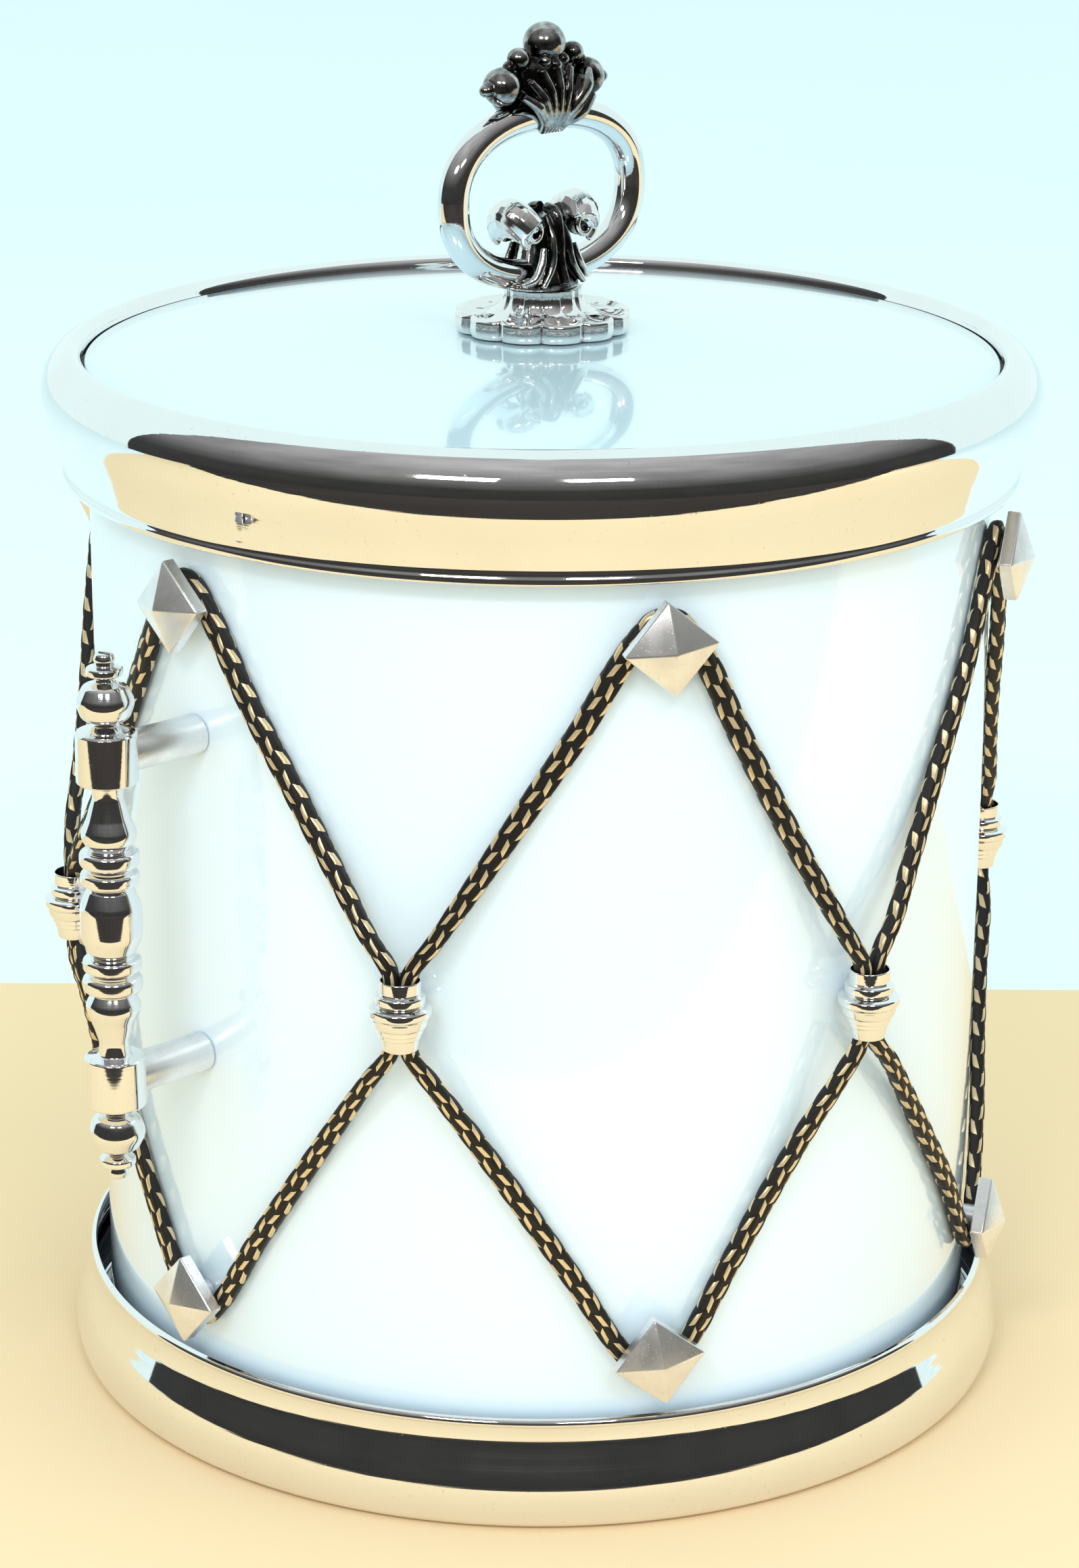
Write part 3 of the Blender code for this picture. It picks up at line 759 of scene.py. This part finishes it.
def loop_route(azimuth, left, right):
    """A closed cord round one top and one bottom post and through the sleeves on either side.

    Worked out on the unrolled wall as (distance along the wall, height, radius).
    """
    scale = math.radians(1) * CORD_WALL_R
    pair = CORD_PAIR * CORD_WALL_R / SLEEVE_AXIS_R
    middles = []
    for side, (sleeve_azimuth, z) in ((1, right), (-1, left)):
        turn = (sleeve_azimuth - azimuth + 180) % 360 - 180
        middles.append((turn * scale - side * pair, z))
    (right_u, right_z), (left_u, left_z) = middles
    reach = SLEEVE_HALF + CORD_CLEAR
    top = turn_round(STUD_TOP_Z, (left_u, left_z + reach), (right_u, right_z + reach))
    bottom = turn_round(STUD_BOTTOM_Z, (right_u, right_z - reach), (left_u, left_z - reach))
    out = [(0.3, 0), (0.55, 0.06), (0.75, 0.4), (0.9, 0.85), (1, 1)]
    back = [(1 - t, lift) for t, lift in reversed(out[:-1])]
    points = []
    for start, (u, z), end, heading in ((top, middles[0], bottom, -1), (bottom, middles[1], top, 1)):
        points += start
        points += leg(start[-1], (u, z - heading * reach), out)
        points += [(u, z, SLEEVE_AXIS_R), (u, z + heading * reach, SLEEVE_AXIS_R)]
        points += leg((u, z + heading * reach), end[0], back)
    return [polar(r, azimuth + u / scale, z) for u, z, r in points]


def resample(points, step):
    """The closed path as a smooth curve with a point every step."""
    pts = np.array([tuple(p) for p in points])
    length = np.linalg.norm(np.roll(pts, -1, axis=0) - pts, axis=1)
    wide = np.concatenate([pts[-3:], pts, pts[:3]])
    gaps = np.concatenate([length[-3:], length, length[:2]])
    place = np.concatenate([[0], np.cumsum(gaps)])
    slope = np.gradient(wide, place, axis=0)
    made = []
    for i in range(3, 3 + len(pts)):
        bits = max(1, round(gaps[i] / step))
        for t in np.arange(bits) / bits:
            made.append(between(wide, slope, i, gaps[i], t))
    return np.array(made)


def braid_relief(columns, along):
    """Height of the floats at places given as columns round the cord and repeats along it."""
    column = np.floor(columns)
    across = columns - column - 0.5
    odd = column % 2
    sign = 1 - odd * 2
    phase = (along + odd * BRAID_STAGGER + sign * across * BRAID_LEAN) % 1.0
    gold = phase < BRAID_GOLD
    run = np.where(gold, phase / BRAID_GOLD, (phase - BRAID_GOLD) / (1 - BRAID_GOLD))
    middle = np.where(gold, BRAID_GOLD / 2, (1 + BRAID_GOLD) / 2)
    off = np.clip(across + sign * (phase - middle) * BRAID_SLANT * 0.6, -0.5, 0.5)
    crown = np.cos(math.pi * off) ** 0.7 * np.sin(math.pi * run) ** 0.45
    return (crown - 0.6) * BRAID_RELIEF


def make_cords(looks):
    sleeves = sleeve_sites()
    sides = BRAID_COLUMNS * BRAID_POINTS
    section = oval(sides, CORD_FLATNESS)
    for i, azimuth in enumerate(stud_sites()):
        path = resample(loop_route(azimuth, sleeves[i - 1], sleeves[i]), CORD_STEP)
        count = len(path)
        radius = np.hypot(path[:, 0], path[:, 1])
        outward = np.stack([path[:, 0] / radius, path[:, 1] / radius, np.zeros(count)], axis=1)
        lifted = np.clip((radius - CORD_WALL_R) / (SLEEVE_AXIS_R - CORD_WALL_R), 0, 1)
        flat = CORD_WIDTH + CORD_SPREAD * (path[:, 2] - SLEEVE_PLACES[0][1]) / (WALL_TOP / 2)
        across = flat + (CORD_R - flat) * lifted
        length = np.linalg.norm(np.roll(path, -1, axis=0) - path, axis=1)
        repeats = round(length.sum() / BRAID_REPEAT)
        along = np.concatenate([[0], np.cumsum(length)]) / length.sum() * repeats
        columns = (np.arange(sides) + 0.5) / sides * BRAID_COLUMNS
        relief = braid_relief(columns[None, :], along[:-1, None])
        verts, faces = sweep(
            path, outward, across - CORD_SIDE_INSET, CORD_R - CORD_FRONT_INSET, section, True, relief)
        mesh = plain_mesh(f"braided_loop_{i + 1}", verts, faces)
        cord = add_object(f"braided_loop_{i + 1}", mesh, looks["cord"])
        uv = mesh.uv_layers.new(name="braid")
        u = np.arange(sides + 1) / sides * BRAID_COLUMNS + columns[0]
        corners = []
        for ring in range(count):
            for k in range(sides):
                corners += [(u[k], along[ring]), (u[k + 1], along[ring]),
                            (u[k + 1], along[ring + 1]), (u[k], along[ring + 1])]
        uv.data.foreach_set("uv", np.array(corners).ravel())
        ride(cord, "body", "cord", f"cord_loop_{i + 1}")


# Handles


def spindle_outline():
    """The spindle from its upper tip to its lower one: beads, pears and blocks."""
    upper = [(0, 62, 0), (1.9, 61.95, 1), (2.4, 60.5, 0.9), (2.0, 59.1, 0.3), (4.1, 58.6, 0.6),
             (4.1, 57.0, 0.6), (2.1, 56.2, 0.3), (2.3, 55.5, 0.4), (4.9, 54.5, 1.8), (6.7, 50.9, 3.4),
             (5.3, 46.9, 2.4), (2.8, 46.3, 0.5), (2.9, 45.6, 0.4), (5.2, 44.3, 1.2), (6.5, 44.1, 0.4),
             (6.9, 43.6, 0.3), (6.9, 32.6, 0.3), (6.4, 32.2, 0.3), (3.7, 31.9, 0.5), (3.4, 28.9, 3.5),
             (4.9, 24, 6), (6.6, 20.2, 4), (4.9, 17.2, 1.5), (4.5, 16.7, 0.3), (6.75, 16.5, 1.5),
             (6.75, 13.2, 1.5), (4.7, 12.3, 0.4), (5.3, 11.9, 0.2), (6.6, 11.4, 0.9), (6.6, 8.8, 0.9),
             (4.6, 8.3, 0.4), (5.4, 7.3, 1), (6.94, 3.6, 5)]
    lower = [(r, -z, fillet) for r, z, fillet in upper[::-1]]
    return rounded(mm(upper + lower), bits=6)


def make_handles(looks):
    pair = [("handle_left", -90), ("handle_right", 90)]
    places = [(polar(HANDLE_R, azimuth, HANDLE_Z), azimuth, 0) for _, azimuth in pair]
    spindle = revolve("spindle", spindle_outline(), looks["chrome_handle"], steps=72)
    made = copies("turned_spindles", spindle, places, looks["chrome_handle"])
    ride(made, "body", "chrome", *[f"{name}_spindle" for name, _ in pair])
    reach = HANDLE_R - BODY_R - GAP - POST_STOP
    outline = rounded([(0, reach, 0), (POST_R, reach, 0.2 * MM), (POST_R, 0, 0.25 * MM), (0, 0, 0)])
    post = revolve("post", outline, looks["satin"], steps=56)
    post.data.transform(FACE_OUT)
    places, nodes = [], []
    for name, azimuth in pair:
        for level, z in (("upper", HANDLE_Z + POST_REACH), ("lower", HANDLE_Z - POST_REACH)):
            places.append((polar(BODY_R + GAP, azimuth, z), azimuth, 0))
            nodes.append(f"{name}_post_{level}")
    ride(copies("handle_posts", post, places, looks["satin"]), "body", "chrome", *nodes)


# Lid


def make_lid(looks):
    face = through(mm([
        (107.9, 248.4), (108.5, 250.2), (110.2, 251.3), (112.9, 250.5), (115.5, 248.2),
        (117.3, 245), (117.9, 241.6), (117.5, 238.2), (116.2, 234.6), (114.5, 230.6),
        (113.3, 227), (112.8, 224.4), (113.2, 223.4), (113, 222.3), (112.2, 222)]), 7)
    band = revolve("lid_hoop", sheet_outline(face, SHEET_T), looks["chrome"])
    ride(band, "lid", "chrome", "lid_band")
    radii = np.linspace(PANEL_R - 0.6 * MM, KNOB_BORE_R, 24)
    top = [(r, PANEL_EDGE_Z + PANEL_DOME * (1 - (r / PANEL_R) ** 2)) for r in radii]
    rim = [(PANEL_R, PANEL_EDGE_Z - PANEL_T), (PANEL_R, PANEL_EDGE_Z - 0.6 * MM),
           (PANEL_R - 0.2 * MM, PANEL_EDGE_Z - 0.15 * MM)]
    under = [(r, z - PANEL_T) for r, z in top[::-4]]
    ride(revolve("domed_panel", under + rim + top, looks["panel"]), "lid", "vinyl", "lid_panel")
    pan = rounded(mm([
        (0, 228, 0), (86, 228, 0.5), (86, 238.6, 0.5), (108.2, 238.6, 0.5), (108.2, 244.7, 0.3),
        (110.2, 244.7, 0.3), (110.2, 238.6, 0.3), (115.6, 238.6, 0.3), (115.6, 236.6, 0.3),
        (88, 236.6, 0.6), (87.4, 226, 2), (0, 226, 0)]), bits=5)
    ride(revolve("lid_underside", pan, looks["plastic"]), "lid", "plastic", "lid_pan")


def store_recess(obj, reach, extra=None):
    """Stores how shut in each point is, from 0 to 1, as the attribute recess."""
    mesh = obj.data
    tree = BVHTree.FromPolygons([v.co for v in mesh.vertices], [p.vertices for p in mesh.polygons])
    golden = math.pi * (3 - math.sqrt(5))
    rays = []
    for i in range(RECESS_RAYS):
        height = 1 - (i + 0.5) / RECESS_RAYS * RECESS_SPREAD
        ring = math.sqrt(1 - height * height)
        rays.append(Vector((ring * math.cos(golden * i), ring * math.sin(golden * i), height)))
    values = []
    for vertex in mesh.vertices:
        normal = vertex.normal
        spin = Vector((0, 0, 1)).rotation_difference(normal)
        start = vertex.co + normal * 0.00008
        hits = sum(tree.ray_cast(start, spin @ ray, reach)[0] is not None for ray in rays)
        values.append(hits / len(rays) + (extra(vertex.co) if extra else 0))
    layer = mesh.attributes.new("recess", "FLOAT", "POINT")
    layer.data.foreach_set("value", values)


def cast(name, parts, look):
    """One casting from overlapping (verts, faces) parts, with soft inner corners."""
    work = bmesh.new()
    for verts, faces in parts:
        made = [work.verts.new(tuple(v)) for v in verts]
        for face in faces:
            work.faces.new([made[k] for k in face])
    obj = put_in_scene(name, mesh_from(work, name))
    remesh = obj.modifiers.new("Skin", "REMESH")
    remesh.mode = "VOXEL"
    remesh.voxel_size = CAST_VOXEL
    remesh.adaptivity = 0
    relax = obj.modifiers.new("Relax", "SMOOTH")
    relax.factor = 0.5
    relax.iterations = 4
    obj = bake(obj)
    dress(obj.data, look)
    return obj


def ball(x, y, z, radius, flat=1.0):
    work = bmesh.new()
    place = Matrix.Translation((x * MM, y * MM, z * MM)) @ Matrix.Diagonal((1, flat, 1, 1))
    bmesh.ops.create_icosphere(work, subdivisions=4, radius=radius * MM, matrix=place)
    verts = [v.co.copy() for v in work.verts]
    faces = [[v.index for v in face.verts] for face in work.faces]
    work.free()
    return verts, faces


def rod(points, radii, side=1, face=1, outward=(0, 1, 0)):
    """A round bar through points in millimetres, with a radius at each.

    side and face are 1, or -1 to mirror it left to right and front to back.
    """
    path = np.array(through(mm([(side * x, face * y, z) for x, y, z in points]), 6))
    places = np.linspace(0, len(radii) - 1, len(path))
    radius = np.interp(places, np.arange(len(radii)), radii) * MM
    return sweep(path, outward, radius, radius, oval(16))


def turned_core(outline, flat):
    """A closed core turned about Z from (radius, height) in millimetres, flattened front to back."""
    steps = 32
    angles = [math.tau * i / steps for i in range(steps)]
    verts = [(r * math.cos(a), flat * r * math.sin(a), z) for r, z in mm(outline) for a in angles]
    faces = []
    for ring in range(len(outline) - 1):
        low, high = ring * steps, (ring + 1) * steps
        for i in range(steps):
            j = (i + 1) % steps
            faces.append((low + j, low + i, high + i, high + j))
    faces += [tuple(range(steps)), tuple((len(outline) - 1) * steps + i for i in range(steps))[::-1]]
    return verts, faces


def superellipse(t):
    def bent(value):
        return math.copysign(abs(value) ** (2 / RING_POWER), value)
    return Vector((RING_WIDE * bent(math.cos(t)), 0, RING_Z + RING_TALL * bent(math.sin(t))))


def make_ring(looks):
    dense = [superellipse(math.tau * i / 720) for i in range(720)]
    path = resample(dense[::6], 0.6 * MM)
    verts, faces = sweep(path, (0, 1, 0), RING_TUBE_R, RING_TUBE_R, oval(48), True)
    ring = add_object("lifting_ring", build_mesh("lifting_ring", verts, faces), looks["chrome_ring"])
    ride(ring, "lid", "cast", "knob_ring")


def make_finial(looks):
    core = [(4.4, 301.2), (6.2, 305), (9.2, 311), (8.4, 316), (3, 319)]
    parts = [ball(0, 0, 320.8, 5), turned_core(core, 0.5)]
    for side in (-1, 1):
        parts += [
            ball(side * 8.6, -0.4, 317.9, 2.7), ball(side * 13.4, 0, 312, 4.5),
            ball(side * 18.6, 0, 311.6, 1.5), ball(side * 17.9, 0, 311.7, 1.7, 1.1),
            ball(side * 11.3, 0, 316.3, 1.5)]
    for face, side in ((-1, 1), (1, -1)):
        parts += [
            rod([(1.6, 3.8, 303), (4.8, 5.4, 307.2), (8.4, 5.2, 311.4), (10.6, 3.6, 314.4)],
                [1.0, 1.6, 1.9, 1.0], side, face),
            rod([(2.4, 3.6, 302.2), (7, 5, 304.8), (12, 4, 308.4)], [0.9, 1.6, 1.0], side, face)]
    for face in (-1, 1):
        parts += [
            ball(0, face * 3.6, 316.2, 1.7), ball(-2.9, face * 3.2, 317.2, 1.5),
            ball(2.9, face * 3.2, 317.2, 1.5), ball(1.6, face * 4.1, 314.2, 1.0)]
        for i in range(-3, 4):
            lean = math.radians(17 * i)
            reach = 15.5 - 0.9 * abs(i)
            tip = (reach * math.sin(lean) * 1.05, 302.5 + reach * math.cos(lean) * 0.93)
            points = [(0.95 * i, 2.2, 300.9), (1.35 * i, 4.4, 303.6),
                      (tip[0] * 0.6, 4.9, 302.5 + (tip[1] - 302.5) * 0.6), (tip[0], 3.7, tip[1])]
            parts.append(rod(points, [0.8, 1.0, 1.5, 1.05], 1, face))
    finial = cast("leaf_and_berries", parts, looks["antique_dark"])
    store_recess(finial, 3 * MM)
    ride(finial, "lid", "cast")


def scroll(centre, face, side):
    """A spiral rib on the end of a roll."""
    points = []
    for i in range(17):
        turn = i / 16
        angle = math.radians(250 - 560 * turn)
        radius = 3.65 - 2.9 * turn
        points.append((
            centre[0] - side * radius * math.cos(angle), centre[1] + face * (0.1 + 0.5 * turn),
            centre[2] + radius * math.sin(angle)))
    return rod(points, [0.85, 0.8, 0.75, 0.8, 1.0])


def make_collar(looks):
    core = [(9.3, 264.35), (9.2, 266), (7.6, 269), (6.4, 274), (5.6, 279), (3.4, 281)]
    parts = [turned_core(core, 0.8)]
    for side in (-1, 1):
        parts.append(rod(
            [(8.3, -4.9, 278.4), (9.9, -2.2, 280.8), (10.4, 0, 281.5), (9.9, 2.2, 280.8),
             (8.3, 4.9, 278.4)], [3.9, 4.45, 4.7, 4.45, 3.9], side, 1, (1, 0, 0)))
        for face in (-1, 1):
            parts.append(scroll((side * 8.3, face * 5.0, 278.4), face, side))
            parts.append(rod(
                [(1.7, 2.8, 281.6), (2.3, 5.5, 276.5), (3.2, 6.4, 270.5), (6.6, 7.0, 265.6)],
                [0.8, 0.95, 1.1, 0.7], side, face))
            parts.append(rod(
                [(4.7, 5.2, 274.6), (6.0, 5.8, 270.6), (8.4, 5.5, 267.2), (10.8, 4.4, 266.2)],
                [0.8, 1.05, 1.1, 0.6], side, face))
    for face in (-1, 1):
        parts.append(rod(
            [(0, 0.9, 283.0), (0, 3.6, 282.2), (0, 5.5, 277), (0, 6.2, 270.5), (0, 7.6, 265.7)],
            [1.3, 1.5, 1.2, 1.1, 1.3], 1, face))
    collar = cast("scrolled_collar", parts, looks["antique"])

    def middle(co):
        return 0.5 * math.exp(-((co.x / (6.5 * MM)) ** 2)) - 0.1

    store_recess(collar, 3 * MM, middle)
    ride(collar, "lid", "cast")


def foot_radius(turn, base):
    """The outline of the foot's lobes and of the flutes above them."""
    wave = abs(math.cos(turn * FOOT_LOBES / 2))
    share = max(0.0, min(1.0, (base - FOOT_NECK_R) / FOOT_FLARE))
    bulge = math.sqrt(wave + 0.02)
    return base * (1 - (0.08 + 0.02 * share) * (1 - bulge))


def make_foot(looks):
    profile = through(mm([
        (9.35, 264.3), (9.3, 263), (9.6, 261.2), (10.8, 259.6), (13, 258.5), (15.6, 257.9),
        (18, 257.9), (19.3, 258.5), (20.2, 258.9), (20.75, 258.5), (20.85, 257.6),
        (20.75, 255.2), (20.4, 254.55)]), 4)
    outline = [(KNOB_BORE_R, KNOB_SEAT_Z)] + profile + [(KNOB_BORE_R, 254.55 * MM)]
    steps = FOOT_LOBES * FOOT_STEPS
    verts = []
    for i in range(steps):
        turn = math.tau * i / steps
        valley = 1 - abs(math.cos(turn * FOOT_LOBES / 2))
        for r, z in outline:
            radius = foot_radius(turn, r) if r > FOOT_NECK_R else r
            dish = math.exp(-((r - FOOT_DISH_R) / FOOT_DISH_WIDTH) ** 2) if z > FOOT_TREAD_Z else 0
            rise = dish * valley ** 2 * FOOT_DISH_RISE
            verts.append((radius * math.cos(turn), radius * math.sin(turn), z + rise))
    mesh = build_mesh("lobed_foot", verts, ring_faces(outline, steps, steps))
    foot = sharpen(add_object("lobed_foot", mesh, looks["antique_bright"]), 50)
    store_recess(foot, 2.5 * MM)
    ride(foot, "lid", "cast", "knob_foot")


# Stage, lights and camera


def mirrored_only(obj):
    """Hides a stage object from everything but reflections."""
    for rays in ("camera", "diffuse", "shadow", "transmission"):
        setattr(obj, f"visible_{rays}", False)


def make_stage():
    azimuth = CAMERA_AZIMUTH

    def slab(name, near, far, look, height=0.0):
        """A flat rectangle between two distances behind the drum's middle, as the camera sees it."""
        across = polar(1, azimuth + 90, 0)
        behind = -polar(1, azimuth, 0)
        corners = [across * x + behind * y + Vector((0, 0, height)) for x, y in
                   ((-FLOOR_REACH, near), (FLOOR_REACH, near), (FLOOR_REACH, far), (-FLOOR_REACH, far))]
        mesh = plain_mesh(name, corners, [(0, 1, 2, 3)])
        obj = add_object(name, mesh, look, False)
        if mesh.polygons[0].normal.z < 0:
            mesh.flip_normals()
        return obj

    warm = plain_floor("warm_floor", (0.88, 0.66, 0.41), (0.93, 0.71, 0.46), 0.42)
    slab("table_top", -FLOOR_REACH, TABLE_BACK, warm)
    pale = plain_floor("pale_floor", (0.80, 0.90, 0.93), (0.84, 0.92, 0.95), 0.7)
    slab("pale_floor", TABLE_BACK, FLOOR_FAR, pale)
    dim = plain_floor("dim_floor", (0.03, 0.025, 0.02), (0.05, 0.04, 0.04), 0.8)
    mirrored_only(slab("dim_floor", -FLOOR_REACH, -TABLE_FRONT, dim, 0.5 * MM))


def make_room():
    """Surroundings on the camera's side that only reflections show: dim walls and a grey ceiling."""
    finish = Finish("dim_room")
    height = finish.node("ShaderNodeSeparateXYZ", {}, {0: finish.place()}, 2) * (1 / ROOM_R)
    shade = finish.ramp(height, (0.0, 0.02), (0.3, 0.03), (0.5, 0.13), (0.75, 0.3), (0.98, 0.5))
    colour = shade * (0.5 + finish.noise(1.6, 3))
    finish.done(Base_Color=(0.01, 0.01, 0.01), Roughness=1.0,
                Emission_Color=colour, Emission_Strength=1.0)
    across, up = 40, 20
    verts = []
    for row in range(up + 1):
        level = math.radians(ROOM_TOP * row / up)
        for i in range(across + 1):
            azimuth = CAMERA_AZIMUTH + ROOM_SPREAD * (2 * i / across - 1)
            verts.append(polar(ROOM_R * math.cos(level), azimuth, ROOM_R * math.sin(level)))
    faces = []
    for row in range(up):
        for i in range(across):
            k = row * (across + 1) + i
            faces.append((k, k + 1, k + across + 2, k + across + 1))
    room = add_object("dim_room", plain_mesh("dim_room", verts, faces), finish.made, False)
    mirrored_only(room)


def add_light(name, azimuth, away, height, size, power, colour, mirrored=True):
    lamp = bpy.data.lights.new(name, "AREA")
    lamp.shape = "RECTANGLE"
    lamp.size, lamp.size_y = size
    lamp.energy = power
    lamp.color = colour
    obj = put_in_scene(name, lamp)
    obj.location = polar(away, azimuth, height)
    aim = Vector(LIGHT_AIM) - obj.location
    obj.rotation_euler = aim.to_track_quat("-Z", "Y").to_euler()
    obj.visible_glossy = mirrored


def make_lights():
    world = bpy.data.worlds.new("soft_sky")
    bpy.context.scene.world = world
    world.use_nodes = True
    sky = world.node_tree.nodes["Background"]
    sky.inputs["Color"].default_value = (0.83, 1.0, 0.99, 1)
    sky.inputs["Strength"].default_value = 1.05
    for side, turn, size, power in (("left", -20, (0.5, 0.22), 7), ("right", 14, (0.4, 0.16), 5)):
        add_light(f"ceiling_panel_{side}", CAMERA_AZIMUTH + turn, 1.5, 1.35, size, power,
                  (1, 0.99, 0.97))
    add_light("soft_fill", CAMERA_AZIMUTH - 12, 2.2, 0.8, (2.0, 1.6), 13, (0.95, 0.98, 1), False)
    add_light("warm_fill", CAMERA_AZIMUTH + 70, 1.8, 0.5, (1.2, 1.2), 7, (1, 0.9, 0.82), False)


def make_camera():
    data = bpy.data.cameras.new("camera")
    data.lens = CAMERA_LENS
    data.sensor_width = CAMERA_SENSOR
    data.sensor_fit = "HORIZONTAL"
    data.clip_start = 0.01
    data.clip_end = 50
    camera = put_in_scene("camera", data)
    turn = Matrix.Rotation(math.radians(CAMERA_AZIMUTH), 4, "Z")
    tilt = Matrix.Rotation(math.radians(90 - CAMERA_PITCH), 4, "X")
    roll = Matrix.Rotation(math.radians(CAMERA_ROLL), 4, "Z")
    place = Matrix.Translation(polar(CAMERA_AWAY, CAMERA_AZIMUTH, CAMERA_HEIGHT))
    camera.matrix_world = place @ turn @ tilt @ roll
    bpy.context.scene.camera = camera


def finish_nodes(looks):
    """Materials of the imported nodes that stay."""
    finishes = {
        "drum_shell": "board", "base_board": "board", "wall_insulation": "foam",
        "floor_insulation": "foam", "lid_core": "foam", "base_felt": "felt", "knob_washer": "steel"}
    for name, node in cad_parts.items():
        look = "steel" if "screw" in name else finishes.get(name)
        if look:
            node.data.materials.clear()
            node.data.materials.append(looks[look])


def main():
    scene = bpy.context.scene
    scene.view_settings.view_transform = "Standard"
    make_camera()
    looks = {
        # The same white cloth twice: the blue cast in both colours is painted light, and the lid's
        # darker colour is painted shade.
        "vinyl": patent_vinyl("drum_vinyl", (0.67, 0.79, 0.9)),
        "panel": patent_vinyl("lid_vinyl", (0.6, 0.76, 0.84)),
        "chrome": polished_chrome("spun_chrome", 0.88, 0.03),
        "chrome_handle": polished_chrome("turned_chrome", 0.86, 0.06),
        "chrome_ring": polished_chrome("cast_chrome", 0.84, 0.05),
        "satin": satin_casting(),
        "antique": antiqued_casting("antiqued_collar", 0.18),
        "antique_dark": antiqued_casting("antiqued_finial", 0.5),
        "antique_bright": antiqued_casting("antiqued_foot", 0.04),
        "cord": braided_cord(),
        "plastic": moulded_plastic(),
        "board": pressed_board(),
        "foam": insulating_foam(),
        "felt": pressed_felt(),
        "steel": zinc_steel(),
    }
    finish_nodes(looks)
    for make in (make_wall, make_liner, make_base_band, make_studs, make_sleeves, make_cords,
                 make_handles, make_lid, make_ring, make_finial, make_collar, make_foot):
        make(looks)
    make_stage()
    make_room()
    make_lights()


main()
